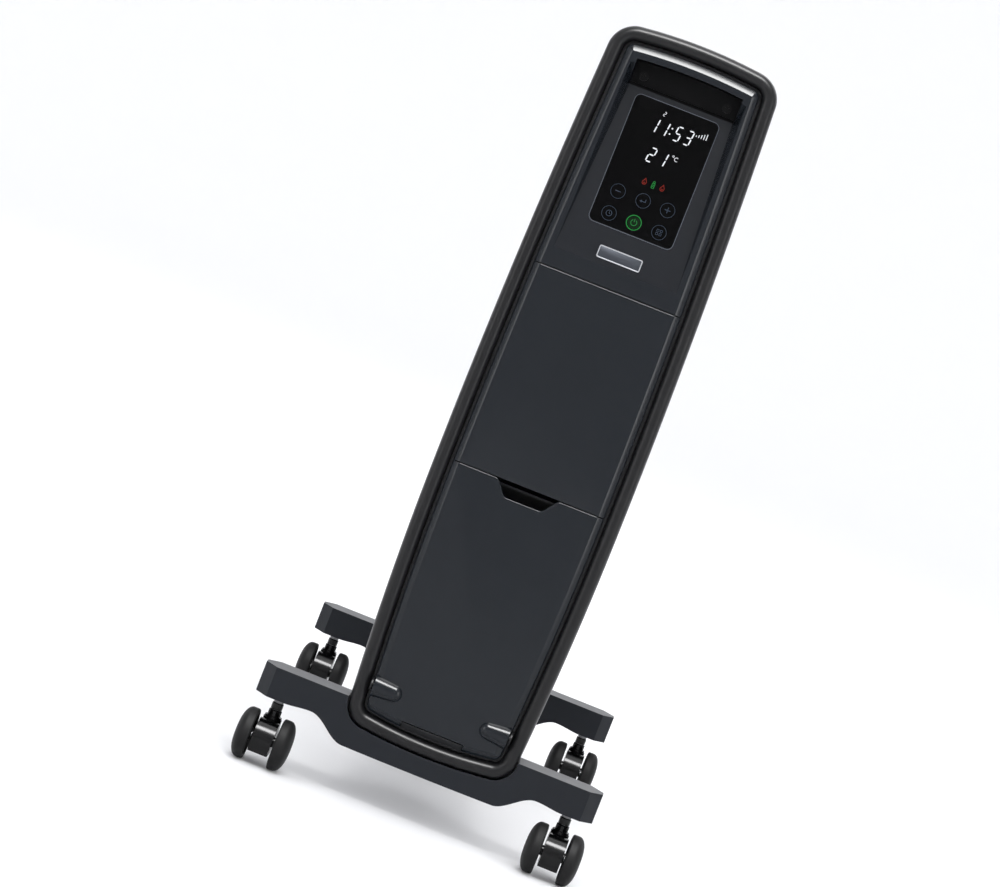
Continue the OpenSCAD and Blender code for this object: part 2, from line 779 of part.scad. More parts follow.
// ---- castors ----------------------------------------------------------------------------------------------
hood_r = 15.3;
hood_half = 8;
neck_top = 43;
neck_r = 5.2;
collar_r = 7;
hub_r = 4.2;
axle_r = 2;
axle_half = 18;
wheel_inner = 10;                // inner face, from the castor's middle plane
rim_w = 7.4;
dome = 12.6;                     // thickness of a wheel at its middle
running = 0.05;

module at_castor(x_side, back) {
    translate([x_side * castor_x, at_depth(back ? case_depth - stem_in : stem_in), 0]) children();
}
module castor_stem() {
    translate([0, 0, 26]) cylinder(r = stem_r, h = stem_top - 26);
    translate([0, 0, arm_foot - 4]) cylinder(r = nut_r, h = 4, $fn = 6);
}
module castor_body() {
    difference() {
        union() {
            translate([0, 0, 22]) cylinder(r = collar_r + 0.5, h = 14.5);
            cylinder(r = collar_r, h = 38);
            translate([0, 0, 30]) cylinder(r = neck_r, h = neck_top - 30);
            translate([-hood_half, -trail, wheel_r]) rotate([0, 90, 0]) cylinder(r = hood_r, h = 2 * hood_half);
            translate([-wheel_inner + 0.3, -trail, wheel_r]) rotate([0, 90, 0]) cylinder(r = hub_r, h = 2 * wheel_inner - 0.6);
        }
        translate([0, 0, 26 - 0.5]) cylinder(r = stem_r + running, h = 30);
        translate([-30, -40, -5]) cube([60, 60, 15]);
    }
    translate([-axle_half, -trail, wheel_r]) rotate([0, 90, 0]) cylinder(r = axle_r, h = 2 * axle_half);
}
// One wheel on the +X side, turned about its axle: flat tread, domed outer face, recessed inner face.
module castor_wheel() {
    r = wheel_r;
    dome_steps = 8;
    dome_line = [for (i = [0:dome_steps]) let (u = i / dome_steps)
        [(r - 1.2) * cos(90 * u), rim_w + (dome - rim_w) * sin(90 * u)]];
    translate([wheel_inner, -trail, wheel_r]) rotate([0, 90, 0]) difference() {
        rotate_extrude() polygon(concat([[0, 0], [r - 0.8, 0], [r, 0.8], [r, rim_w - 1.4]], dome_line));
        translate([0, 0, -1]) cylinder(r = axle_r + running, h = axle_half - wheel_inner + 1.4);
        translate([0, 0, -1]) difference() {
            cylinder(r = r - 3, h = 4.5);
            cylinder(r = 6, h = 10, center = true);
        }
    }
}
module stem_at(x_side, back) { color(steel) at_castor(x_side, back) castor_stem(); }
module body_at(x_side, back) { color(gloss_black) at_castor(x_side, back) castor_body(); }
// wheel_side +1 is the wheel further from the middle of the heater
module wheel_at(x_side, back, wheel_side) {
    color(soft_black) at_castor(x_side, back) mirror([x_side * wheel_side < 0 ? 1 : 0, 0, 0]) castor_wheel();
}

// ---- what is drawn ------------------------------------------------------------------------------------------
front_bezel();
front_housing();
control_fascia();
touch_glass();
led_display();
display_board();
recess_plate();
recess_screws();
name_plate();
middle_panel();
cord_door();
hinge_pins();
cord_bay();
gland_plate();
cord_gland();
power_board();
relays();
transformer();
terminal_block();
tilt_switch_case();
tilt_pendulum();
heating_element();
element_plug();
thermal_cutout();
top_header();
bottom_header();
oil_filler_plug();
front_end_plate();
back_end_plate();
back_bezel();
back_housing();
back_panel();
front_foot();
back_foot();
foot_screws();
for (i = [1:fin_count]) fin(i);
for (back = [false, true]) for (x_side = [-1, 1]) {
    place = str(back ? "back" : "front", x_side < 0 ? "_left" : "_right");
    stem_at(x_side, back);
    body_at(x_side, back);
    wheel_at(x_side, back, 1);
    wheel_at(x_side, back, -1);
}
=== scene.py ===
"""Looks for the oil filled radiator heater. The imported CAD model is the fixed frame. Lengths named in mm are
turned into metres where a mesh is made. Depths are measured back from the face of the front panel."""
import json
from math import asin, atan, atan2, copysign, cos, hypot, pi, radians, sin, sqrt

import bmesh
import bpy
from mathutils import Matrix, Vector


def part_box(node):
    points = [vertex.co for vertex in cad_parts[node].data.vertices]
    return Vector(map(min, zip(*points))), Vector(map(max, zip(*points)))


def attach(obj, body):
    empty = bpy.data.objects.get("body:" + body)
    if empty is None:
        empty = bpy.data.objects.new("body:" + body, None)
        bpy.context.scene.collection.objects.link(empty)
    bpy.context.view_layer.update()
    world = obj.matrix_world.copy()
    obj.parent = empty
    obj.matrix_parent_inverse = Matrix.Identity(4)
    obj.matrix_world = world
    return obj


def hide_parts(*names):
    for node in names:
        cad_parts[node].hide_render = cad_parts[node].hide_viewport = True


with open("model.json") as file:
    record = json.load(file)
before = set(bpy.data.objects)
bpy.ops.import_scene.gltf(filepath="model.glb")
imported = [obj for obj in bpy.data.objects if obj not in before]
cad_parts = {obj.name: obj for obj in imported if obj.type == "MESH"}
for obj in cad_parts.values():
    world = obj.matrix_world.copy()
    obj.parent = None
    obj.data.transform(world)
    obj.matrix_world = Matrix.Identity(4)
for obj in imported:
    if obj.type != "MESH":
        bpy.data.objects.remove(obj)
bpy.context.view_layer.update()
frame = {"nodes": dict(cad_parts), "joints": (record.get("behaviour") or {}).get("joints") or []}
MM = 0.001
scene = bpy.context.scene

# ---- places taken from the frame -------------------------------------
bezel_low, bezel_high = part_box("front_bezel")
FACE_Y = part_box("middle_panel")[0].y
BACK_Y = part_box("back_bezel")[1].y
CASE_TOP = bezel_high.z / MM
CASE_BOTTOM = bezel_low.z / MM
FOOT_IN = (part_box("front_foot")[0].y - FACE_Y) / MM
FOOT_DEPTH = (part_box("front_foot")[1].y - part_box("front_foot")[0].y) / MM
FOOT_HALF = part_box("front_foot")[1].x / MM
JOINTS = {j["name"]: j for j in frame["joints"]}
HINGE_IN = (JOINTS["door_hinge"]["pos_m"][1] - FACE_Y) / MM
HINGE_Z = JOINTS["door_hinge"]["pos_m"][2] / MM


# ---- camera ----------------------------------------------------------
def make_camera():
    """A front view that is rolled, because the pictured heater is tipped and the part stands upright."""
    yaw, pitch, roll = radians(-1.798), radians(-4.946), radians(21.441)
    forward = Vector((sin(yaw) * cos(pitch), cos(yaw) * cos(pitch), sin(pitch)))
    level = forward.cross(Vector((0, 0, 1))).normalized()
    above = level.cross(forward)
    right = level * cos(roll) + above * sin(roll)
    up = above * cos(roll) - level * sin(roll)
    data = bpy.data.cameras.new("camera")
    data.sensor_width = 36
    data.lens = 106.26
    data.clip_end = 50
    camera = bpy.data.objects.new("camera", data)
    turn = Matrix((right, up, -forward)).transposed().to_4x4()
    camera.matrix_world = Matrix.Translation(Vector((0.03745, FACE_Y - 2.2511, 0.4974))) @ turn
    scene.collection.objects.link(camera)
    scene.camera = camera


make_camera()


# ---- materials -------------------------------------------------------
def new_material(name):
    material = bpy.data.materials.new(name)
    material.use_nodes = True
    tree = material.node_tree
    return material, tree, tree.nodes["Principled BSDF"]


def noise(tree, scale, detail=2.0, stretch=(1, 1, 1)):
    """Noise in the row frame, in features per metre."""
    place = tree.nodes.new("ShaderNodeTexCoord")
    mapping = tree.nodes.new("ShaderNodeMapping")
    mapping.inputs["Scale"].default_value = stretch
    texture = tree.nodes.new("ShaderNodeTexNoise")
    texture.inputs["Scale"].default_value = scale
    texture.inputs["Detail"].default_value = detail
    tree.links.new(place.outputs["Object"], mapping.inputs["Vector"])
    tree.links.new(mapping.outputs["Vector"], texture.inputs["Vector"])
    return texture.outputs["Fac"]


def spread(tree, value, low, high):
    """The value moved into the range low to high."""
    node = tree.nodes.new("ShaderNodeMapRange")
    node.inputs["From Min"].default_value = 0.15
    node.inputs["From Max"].default_value = 0.85
    node.inputs["To Min"].default_value = low
    node.inputs["To Max"].default_value = high
    tree.links.new(value, node.inputs["Value"])
    return node.outputs["Result"]


def tint(tree, value, dark, light):
    node = tree.nodes.new("ShaderNodeMix")
    node.data_type = "RGBA"
    node.inputs["A"].default_value = (*dark, 1)
    node.inputs["B"].default_value = (*light, 1)
    tree.links.new(value, node.inputs["Factor"])
    return node.outputs["Result"]


def bumps(tree, shader, heights):
    """Chains bump nodes: heights is a list of (noise value, depth in metres, strength)."""
    last = None
    for value, depth, strength in heights:
        bump = tree.nodes.new("ShaderNodeBump")
        bump.inputs["Distance"].default_value = depth
        bump.inputs["Strength"].default_value = strength
        tree.links.new(value, bump.inputs["Height"])
        if last:
            tree.links.new(last, bump.inputs["Normal"])
        last = bump.outputs["Normal"]
    tree.links.new(last, shader.inputs["Normal"])


def moulded(name, color, rough, grain=900, grain_depth=0.00003, grain_strength=0.35, specular=0.4, coat=0.0,
            coat_rough=0.1, metallic=0.0, mottle=0.12, gloss_drift=0.15):
    """Moulded or painted surface: slow colour and gloss drift, orange-peel waviness and a fine grain."""
    material, tree, shader = new_material(name)
    drift = noise(tree, 14, 3)
    cloud = noise(tree, 90, 4)
    fine = noise(tree, grain, 2)
    dark = [c * (1 - mottle) for c in color]
    light = [c * (1 + mottle) for c in color]
    tree.links.new(tint(tree, spread(tree, drift, 0, 1), dark, light), shader.inputs["Base Color"])
    gloss = spread(tree, cloud, rough * (1 - gloss_drift), rough * (1 + gloss_drift))
    tree.links.new(gloss, shader.inputs["Roughness"])
    bumps(tree, shader, [(cloud, 0.0002, 0.03), (fine, grain_depth, grain_strength)])
    shader.inputs["Specular IOR Level"].default_value = specular
    shader.inputs["Metallic"].default_value = metallic
    shader.inputs["Coat Weight"].default_value = coat
    shader.inputs["Coat Roughness"].default_value = coat_rough
    return material


def brushed(name, color, rough, stretch=(1, 1, 30)):
    """Bare metal with fine drawn lines."""
    material, tree, shader = new_material(name)
    lines = noise(tree, 700, 3, stretch)
    tree.links.new(tint(tree, lines, [c * 0.8 for c in color], color), shader.inputs["Base Color"])
    tree.links.new(spread(tree, lines, rough * 0.7, rough * 1.3), shader.inputs["Roughness"])
    bumps(tree, shader, [(lines, 0.00002, 0.25)])
    shader.inputs["Metallic"].default_value = 1.0
    return material


def glowing(name, color, strength):
    """A lit symbol behind the glass, slightly uneven as a light guide is."""
    material, tree, shader = new_material(name)
    shader.inputs["Base Color"].default_value = (*[c * 0.08 for c in color], 1)
    glow = tint(tree, noise(tree, 1500, 1), [c * 0.85 for c in color], color)
    tree.links.new(glow, shader.inputs["Emission Color"])
    shader.inputs["Emission Strength"].default_value = strength
    shader.inputs["Roughness"].default_value = 0.3
    shader.inputs["Specular IOR Level"].default_value = 0.1
    return material


BEZEL = moulded("bezel_plastic", (0.006, 0.006, 0.0066), 0.36, 1600, 0.000006, 0.08, 0.23)
PANEL = moulded("panel_plastic", (0.0058, 0.0077, 0.0105), 0.2, 1400, 0.000003, 0.05, 0.24, mottle=0.05,
               gloss_drift=0.05)
# The sloped display face: a darker copy of the panel plastic with a bluer cast, which is painted reflection of
# the light from above.
DISPLAY_FACE_PAINTED_REFLECTION = moulded("display_face_plastic_painted_reflection", (0.003, 0.0042, 0.0068), 0.3, 1400, 0.000003, 0.05, 0.26,
                       mottle=0.05, gloss_drift=0.05)
HOUSING = moulded("housing_plastic", (0.008, 0.0085, 0.0095), 0.5, 1100, 0.00002, 0.2, 0.3)
# Near-black plastic for the deep recess under the fascia's lip and for the plate at its back: its dark colour
# is painted shade from the lip.
RECESS_PAINTED_SHADE = moulded("recess_plastic_painted_shade", (0.0015, 0.0015, 0.0018), 0.5, 1200, 0.00001, 0.1, 0.1)
GLASS = moulded("black_touch_glass", (0.0008, 0.0008, 0.0009), 0.08, 500, 0.000002, 0.03, 0.06, mottle=0.05)
# A light grey band round the touch glass's edge: its light colour is a painted highlight along the edge.
GLASS_EDGE_HIGHLIGHT = moulded("glass_edge_painted_highlight", (0.09, 0.1, 0.12), 0.3, 900, 0.000005, 0.1, 0.3)
FOOT = moulded("foot_plastic", (0.005, 0.0066, 0.0098), 0.3, 1300, 0.000006, 0.08, 0.22, mottle=0.06,
              gloss_drift=0.08)
WHEEL = moulded("wheel_nylon", (0.007, 0.007, 0.0072), 0.6, 900, 0.00002, 0.25, 0.16)
CASTOR = moulded("castor_nylon", (0.0015, 0.0015, 0.0017), 0.2, 900, 0.000003, 0.06, 0.22)
STEM_METAL = brushed("stem_metal", (0.16, 0.16, 0.165), 0.35)
FIN_PAINT = moulded("fin_paint", (0.012, 0.013, 0.0155), 0.4, 700, 0.00002, 0.2, 0.4, coat=0.15,
                    coat_rough=0.25)
BLACK_STEEL = moulded("black_screw_steel", (0.002, 0.002, 0.002), 0.4, 900, 0.00001, 0.2, 0.15)
STEEL = brushed("bright_steel", (0.55, 0.56, 0.58), 0.28)
BRASS = brushed("turned_brass", (0.62, 0.44, 0.17), 0.3)
PLATE_METAL = brushed("plate_metal", (0.06, 0.065, 0.075), 0.35, (30, 1, 1))
PLATE_RIM = brushed("plate_rim_metal", (0.5, 0.51, 0.53), 0.3, (30, 1, 1))
BOARD = moulded("circuit_board_green", (0.01, 0.07, 0.025), 0.35, 500, 0.00002, 0.2, coat=0.3)
WHITE_PLASTIC = moulded("white_light_guide", (0.7, 0.7, 0.68), 0.4, 900, 0.00002, 0.2, mottle=0.05)
CERAMIC = moulded("cream_ceramic", (0.5, 0.46, 0.36), 0.5, 900, 0.00003, 0.4, mottle=0.06)
RELAY_BLUE = moulded("relay_blue", (0.02, 0.08, 0.25), 0.35, 900, 0.00001, 0.2)
TRANSFORMER_VARNISH = moulded("transformer_varnish", (0.3, 0.2, 0.03), 0.4, 900, 0.00003, 0.3)
LIT_WHITE = glowing("lit_white", (0.93, 0.96, 1.0), 0.95)
LIT_GREEN = glowing("lit_green", (0.03, 0.45, 0.08), 0.5)
LIT_DEEP_GREEN = glowing("lit_deep_green", (0.002, 0.03, 0.005), 0.3)
LIT_RED = glowing("lit_red", (0.4, 0.035, 0.02), 0.5)
LIT_DIM = glowing("lit_dim_blue", (0.17, 0.24, 0.36), 0.14)

CAD_LOOKS = (
    (HOUSING, "front_housing", "back_housing", "cord_bay", "gland_plate", "tilt_switch_case"),
    (FIN_PAINT, "top_header", "bottom_header", "front_end_plate", "back_end_plate"),
    (BRASS, "tilt_pendulum", "element_plug", "oil_filler_plug"), (STEEL, "heating_element", "foot_screws"),
    # The recess plate takes the recess's painted shade.
    (BLACK_STEEL, "hinge_pins", "recess_screws"), (RECESS_PAINTED_SHADE, "recess_plate"), (CASTOR, "cord_gland"),
    (BOARD, "display_board", "power_board"), (WHITE_PLASTIC, "led_display"), (RELAY_BLUE, "relays"),
    (TRANSFORMER_VARNISH, "transformer"), (CERAMIC, "terminal_block", "thermal_cutout"),
)


# ---- mesh helpers ----------------------------------------------------
def shade(piece, degrees=32):
    for face in piece.data.polygons:
        face.use_smooth = True
    piece.data.set_sharp_from_angle(angle=radians(degrees))


def piece_from_bmesh(name, bm, material, degrees=32):
    bmesh.ops.remove_doubles(bm, verts=bm.verts, dist=2e-6)
    bmesh.ops.recalc_face_normals(bm, faces=bm.faces)
    mesh = bpy.data.meshes.new(name)
    bm.to_mesh(mesh)
    bm.free()
    mesh.materials.append(material)
    piece = bpy.data.objects.new(name, mesh)
    scene.collection.objects.link(piece)
    shade(piece, degrees)
    return piece


def at(x, d, z):
    """Point x across, d behind the front panel's face and z above the floor, all in mm."""
    return Vector((x * MM, FACE_Y + d * MM, z * MM))


def at_back(x, d, z):
    """The same, d ahead of the back panel's face."""
    return Vector((x * MM, BACK_Y - d * MM, z * MM))


def polar(radius, angle):
    return radius * Vector((cos(angle), sin(angle)))


def skin(bm, rings, wrap=False, cap_first=False, cap_last=False):
    """Quads between closed rings of points that all have the same count."""
    rows = [[bm.verts.new(p) for p in ring] for ring in rings]
    count = len(rows[0])
    pairs = list(zip(rows, rows[1:])) + ([(rows[-1], rows[0])] if wrap else [])
    for a, b in pairs:
        for i in range(count):
            j = (i + 1) % count
            bm.faces.new((a[i], a[j], b[j], b[i]))
    if cap_first:
        bm.faces.new(rows[0])
    if cap_last:
        bm.faces.new(rows[-1])
    return rows


def skinned(name, rings, material, degrees=32, **closing):
    bm = bmesh.new()
    skin(bm, rings, **closing)
    return piece_from_bmesh(name, bm, material, degrees)


def solid(name, rings, material, degrees=32):
    """A skin that is closed at both ends."""
    return skinned(name, rings, material, degrees, cap_first=True, cap_last=True)


def lathe(bm, profile, place, steps=96):
    """Turns (radius, distance) points about an axis. place(u, v, distance) gives the point."""
    rings = []
    for radius, distance in profile:
        ring = []
        for i in range(steps):
            a = 2 * pi * i / steps
            ring.append(place(radius * cos(a), radius * sin(a), distance))
        rings.append(ring)
    skin(bm, rings, cap_first=True, cap_last=True)


def turned(name, profile, place, material, steps=96, degrees=32):
    bm = bmesh.new()
    lathe(bm, profile, place, steps)
    return piece_from_bmesh(name, bm, material, degrees)


def box_between(name, a, b, material, width=0.0):
    """A box between two corners in metres, with softened edges if a width in mm is given."""
    bm = bmesh.new()
    bmesh.ops.create_cube(bm, size=1)
    for v in bm.verts:
        v.co = Vector(((a[i] + b[i]) / 2 + v.co[i] * abs(b[i] - a[i]) for i in range(3)))
    if width:
        bmesh.ops.bevel(bm, geom=bm.edges, offset=width * MM, segments=4, affect="EDGES", profile=0.5)
    return piece_from_bmesh(name, bm, material)


def block(name, low, high, material, width=0.0):
    """The same, between two (x, depth, z) corners in mm."""
    return box_between(name, at(*low), at(*high), material, width)


def apply_modifier(piece, modifier):
    bpy.context.view_layer.objects.active = piece
    bpy.ops.object.modifier_apply(modifier=modifier.name)


def combine(piece, tool, operation):
    """Joins, cuts or intersects piece with tool, which is used up."""
    modifier = piece.modifiers.new("combine", "BOOLEAN")
    modifier.operation = operation
    modifier.solver = "EXACT"
    modifier.object = tool
    apply_modifier(piece, modifier)
    bpy.data.objects.remove(tool)


def soften(piece, width, segments=3, degrees=35, weld=None):
    """Rounds every edge sharper than the given angle. The CAD mesh itself stays as it is."""
    if weld:
        join = piece.modifiers.new("weld", "WELD")
        join.merge_threshold = weld
    bevel = piece.modifiers.new("soften", "BEVEL")
    bevel.width = width * MM
    bevel.segments = segments
    bevel.limit_method = "ANGLE"
    bevel.angle_limit = radians(degrees)
    bevel.use_clamp_overlap = True
    bevel.harden_normals = True
    bevel.miter_outer = "MITER_ARC"
    return piece


def settle(piece, body, slot, *nodes):
    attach(piece, body)
    if nodes:
        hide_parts(*nodes)


# ---- outline of the case and the panel -------------------------------
# A shape is (half width, top, bottom, top corner radius, bottom corner radius, top arc's radius, bottom arc's
# radius), as in the CAD model. Its sides are two long arcs that meet at the widest height.
SIDE_UP, SIDE_LOW, WIDEST_Z = 6900, 2850, 272
CASE = (76.8, CASE_TOP, CASE_BOTTOM, 22.0, 19.0, 400, 420)
PANEL_SHAPE = (62.1, 625.2, 68.2, 5.5, 6.0, 435, 330)
FASCIA_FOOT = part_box("control_fascia")[0].z / MM
DOOR_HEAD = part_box("cord_door")[1].z / MM
SPLIT_GAP = 0.8


def meet(a, ra, b, rb, pick):
    """Where two circles cross, on one side of the line between their centres."""
    line = b - a
    length = line.length
    unit = line / length
    m = (ra * ra - rb * rb + length * length) / (2 * length)
    return a + unit * m + pick * sqrt(ra * ra - m * m) * Vector((-unit.y, unit.x))


def arc(centre, radius, start, stop, steps):
    return [centre + polar(radius, start + (stop - start) * i / steps) for i in range(steps + 1)]


def angle_of(v):
    return atan2(v.y, v.x)


def half_outline(shape, inset=0.0, corner=14, side=20, end=16):
    """Right half of a shape, from bottom middle to top middle, as (x, z) points."""
    half, top, bottom, r_top, r_bottom, arc_top, arc_bottom = shape
    up_c = Vector((half - SIDE_UP, WIDEST_Z))
    low_c = Vector((half - SIDE_LOW, WIDEST_Z))
    top_c = Vector((0, top - arc_top))
    bottom_c = Vector((0, bottom + arc_bottom))
    r_up, r_low = max(0.5, r_top - inset), max(0.5, r_bottom - inset)
    up = meet(up_c, SIDE_UP - inset - r_up, top_c, arc_top - inset - r_up, 1)
    low = meet(low_c, SIDE_LOW - inset - r_low, bottom_c, arc_bottom - inset - r_low, -1)
    return (arc(bottom_c, arc_bottom - inset, -pi / 2, angle_of(low - bottom_c), end)
            + arc(low, r_low, angle_of(low - bottom_c), angle_of(low - low_c), corner)[1:]
            + arc(low_c, SIDE_LOW - inset, angle_of(low - low_c), 0, side)[1:]
            + arc(up_c, SIDE_UP - inset, 0, angle_of(up - up_c), side)[1:]
            + arc(up, r_up, angle_of(up - up_c), angle_of(up - top_c), corner)[1:]
            + arc(top_c, arc_top - inset, angle_of(up - top_c), pi / 2, end)[1:])


def whole(half):
    """Both halves of an outline, from its right half."""
    return half + [Vector((-p.x, p.y)) for p in half[-2:0:-1]]


def between(k):
    """The shape k of the way from the case's outline to the panel's."""
    return tuple(a + (b - a) * k for a, b in zip(CASE, PANEL_SHAPE))


def side_x(shape, inset, z):
    """Half width of a shape's side at a height."""
    radius = SIDE_UP if z > WIDEST_Z else SIDE_LOW
    return shape[0] - radius + sqrt((radius - inset) ** 2 - (z - WIDEST_Z) ** 2)


# ---- bezels ----------------------------------------------------------
BEZEL_DEPTH = 16
OUTER_FALL, INNER_FALL = 9, 8.6    # how far the round falls back from its crest on either side
CREST_K = 0.42
INNER_K = 0.83
BEZEL_SKIN_K = 0.14


def bezel_section():
    """(k, depth) points round the hollow half-round: outside, then back along the inside."""
    steps = 14
    squareness = 2 / 2.25
    outside = [(0, BEZEL_DEPTH)]
    for i in range(steps + 1):
        a = pi / 2 * i / steps
        k = CREST_K * (1 - cos(a) ** squareness)
        outside.append((k, OUTER_FALL * (1 - sin(a) ** squareness)))
    for i in range(1, steps + 1):
        a = pi / 2 * (1 - i / steps)
        k = CREST_K + (INNER_K - CREST_K) * cos(a) ** squareness
        outside.append((k, INNER_FALL * (1 - sin(a) ** squareness)))
    outside.append((INNER_K, BEZEL_DEPTH))
    inside = [(INNER_K - BEZEL_SKIN_K, BEZEL_DEPTH), (INNER_K - BEZEL_SKIN_K, 8), (0.58, 4.4), (CREST_K, 3),
              (0.27, 4.0), (BEZEL_SKIN_K, 8), (BEZEL_SKIN_K, BEZEL_DEPTH)]
    return outside + inside


def make_bezel(name, node, place):
    rings = [[place(p.x, d, p.y) for p in whole(half_outline(between(k)))] for k, d in bezel_section()]
    settle(skinned(name, rings, BEZEL, 40, wrap=True), "heater", "bezel", node)


make_bezel("front_bezel_ring", "front_bezel", at)
make_bezel("back_bezel_ring", "back_bezel", at_back)

# ---- panels ----------------------------------------------------------
PANEL_BACK = 9.0
SKIN = 2.2
# Section of a panel's rim: (inset of the outline, inset of the straight cut edges, depth)
RIM = [(0, 0, PANEL_BACK), (0, 0, 3.2), (0.1, 0, 2.84), (0.35, 0, 2.55), (4.5, 0.06, 0.36), (4.8, 0.22, 0.18),
       (5.15, 0.5, 0.05), (5.7, 0.9, 0)]
NOTCH_HALF, NOTCH_FLAT, NOTCH_DROP = 26.5, 13.5, 12.2
TAB_HALF, TAB_TOP = 25.7, 74.6
END_POINTS = 31                    # of a half outline, round one end and its corner


def straight(a, b, steps):
    return [a + (b - a) * (i / steps) for i in range(1, steps)]


def notch_z(x):
    """Height of the door's top edge: level, with an S-sided dip for a fingertip."""
    away = min(1.0, max(0.0, (abs(x) - NOTCH_FLAT) / (NOTCH_HALF - NOTCH_FLAT)))
    return DOOR_HEAD - NOTCH_DROP * (1 + cos(pi * away)) / 2


def section_half(inset, cut, low, high):
    """Right half of one section of the panel, from bottom middle to top middle. low or high is None where the
    section ends in the panel's own rounded end."""
    outline = half_outline(PANEL_SHAPE, inset)
    if low is None:
        *bottom, corner = outline[:END_POINTS]
        z_low = corner.y
    else:
        z_low = low + cut
        centre, corner = Vector((0, z_low)), Vector((side_x(PANEL_SHAPE, inset, z_low), z_low))
        bottom = [centre] + straight(centre, corner, 8)
    if high is None:
        corner, *top = outline[-END_POINTS:]
        z_high = corner.y
    else:
        z_high = high - cut
        centre, corner = Vector((0, z_high)), Vector((side_x(PANEL_SHAPE, inset, z_high), z_high))
        top = straight(corner, centre, 30) + [centre]
    steps = 24
    sides = [z_low + (z_high - z_low) * i / steps for i in range(steps + 1)]
    return bottom + [Vector((side_x(PANEL_SHAPE, inset, z), z)) for z in sides] + top


def plate_rings(place, low, high, grow, change=None):
    """Rings of a panel section's outer or inner skin. grow insets everything, for the inner skin."""
    rings = []
    for inset, cut, depth in RIM:
        half = section_half(inset + grow, cut + grow, low, high)
        points = whole(half)
        if change:
            points = [change(p, grow + cut) for p in points]
        rings.append([place(p.x, depth if depth == PANEL_BACK else depth + grow, p.y) for p in points])
    return rings


def make_plate(name, low, high, material, place=at, change=None):
    """A hollow chamfered panel section, open at the back."""
    outer = plate_rings(place, low, high, 0, change)
    inner = plate_rings(place, low, high, SKIN, change)
    return solid(name, inner[::-1] + outer, material, 34)


def finger_notch(p, cut):
    """Cuts the finger notch into the door's outline."""
    if p.y > DOOR_HEAD - 8 and abs(p.x) < NOTCH_HALF + cut:
        inward = copysign(max(0.0, abs(p.x) - cut), p.x)
        return Vector((p.x, min(p.y, notch_z(inward) - cut)))
    return p


middle = make_plate("middle_panel_shell", DOOR_HEAD + SPLIT_GAP, FASCIA_FOOT - SPLIT_GAP, PANEL)
settle(middle, "heater", "panel", "middle_panel")


def make_door():
    door = make_plate("cord_door_shell", None, DOOR_HEAD, PANEL, change=finger_notch)
    combine(door, block("tab_slot", (-TAB_HALF, -2, 60), (TAB_HALF, 20, TAB_TOP), PANEL), "DIFFERENCE")
    outer_x = side_x(PANEL_SHAPE, 0, HINGE_Z) - 0.4
    inner_x, base_r, tip_r = 39.0, 9.2, 7.3
    for side in (-1, 1):
        profile = [(base_r - 0.5, outer_x), (base_r - 0.1, outer_x - 0.2), (base_r, outer_x - 0.6)]
        profile += [(base_r + (tip_r - base_r) * i / 10, outer_x + (inner_x - outer_x) * i / 10)
                    for i in range(1, 10)]
        profile += [(tip_r * cos(radians(a)), inner_x - tip_r * sin(radians(a)))
                    for a in range(0, 90, 9)]
        knuckle = turned("knuckle", profile, lambda u, v, x: at(side * x, HINGE_IN + u, HINGE_Z + v),
                         PANEL, 64)
        combine(door, knuckle, "UNION")
    shade(door, 34)
    return door


settle(make_door(), "door", "panel", "cord_door")


# ---- control fascia --------------------------------------------------
FACE_FOOT, FACE_HEAD, FACE_SINK = 458.0, 596.0, 17.0
TILT = atan(FACE_SINK / (FACE_HEAD - FACE_FOOT))
POCKET_FOOT_HALF, POCKET_HEAD_HALF, MOUTH_HALF, MOUTH_TOP = 50.0, 42.0, 47.0, 612.0
RECESS_HALF, RECESS_LOW, RECESS_TOP, RECESS_SINK, RECESS_ARC = 43.0, 594.0, 615.2, 23.0, 435.0
GLASS_W, GLASS_H, GLASS_CORNER, GLASS_MID, GLASS_PROUD = 68.8, 104.4, 5, 80.9, 0.2


def arch_drop(radius, x):
    """How far an arch has come down at a distance from its middle."""
    return radius - sqrt(radius * radius - x * x)


def on_face(u, v, w):
    """Point u across, v up and w out of the sloped display face, in mm."""
    return at(u, v * sin(TILT) - w * cos(TILT), FACE_FOOT + v * cos(TILT) + w * sin(TILT))


def rounded_rectangle(w, h, r, steps=10, centre=(0, 0)):
    points = []
    for cx, cy, start in ((1, -1, -90), (1, 1, 0), (-1, 1, 90), (-1, -1, 180)):
        corner = Vector((centre[0] + cx * (w / 2 - r), centre[1] + cy * (h / 2 - r)))
        points += [corner + polar(r, radians(start + 90 * i / steps)) for i in range(steps + 1)]
    return points


def rounded_slab(name, w, h, r, w0, w1, material, edge=0.3, centre=(0, 0), place=on_face):
    """A plate with rounded corners and softened edges, between heights w0 and w1 over the face."""
    rings = []
    section = ((edge, w0), (0, w0 + edge), (0, w1 - edge), (edge * 0.3, w1 - edge * 0.3), (edge, w1))
    for inset, height in section:
        outline = rounded_rectangle(w - 2 * inset, h - 2 * inset, max(0.2, r - inset), centre=centre)
        rings.append([place(p.x, p.y, height) for p in outline])
    return solid(name, rings, material)


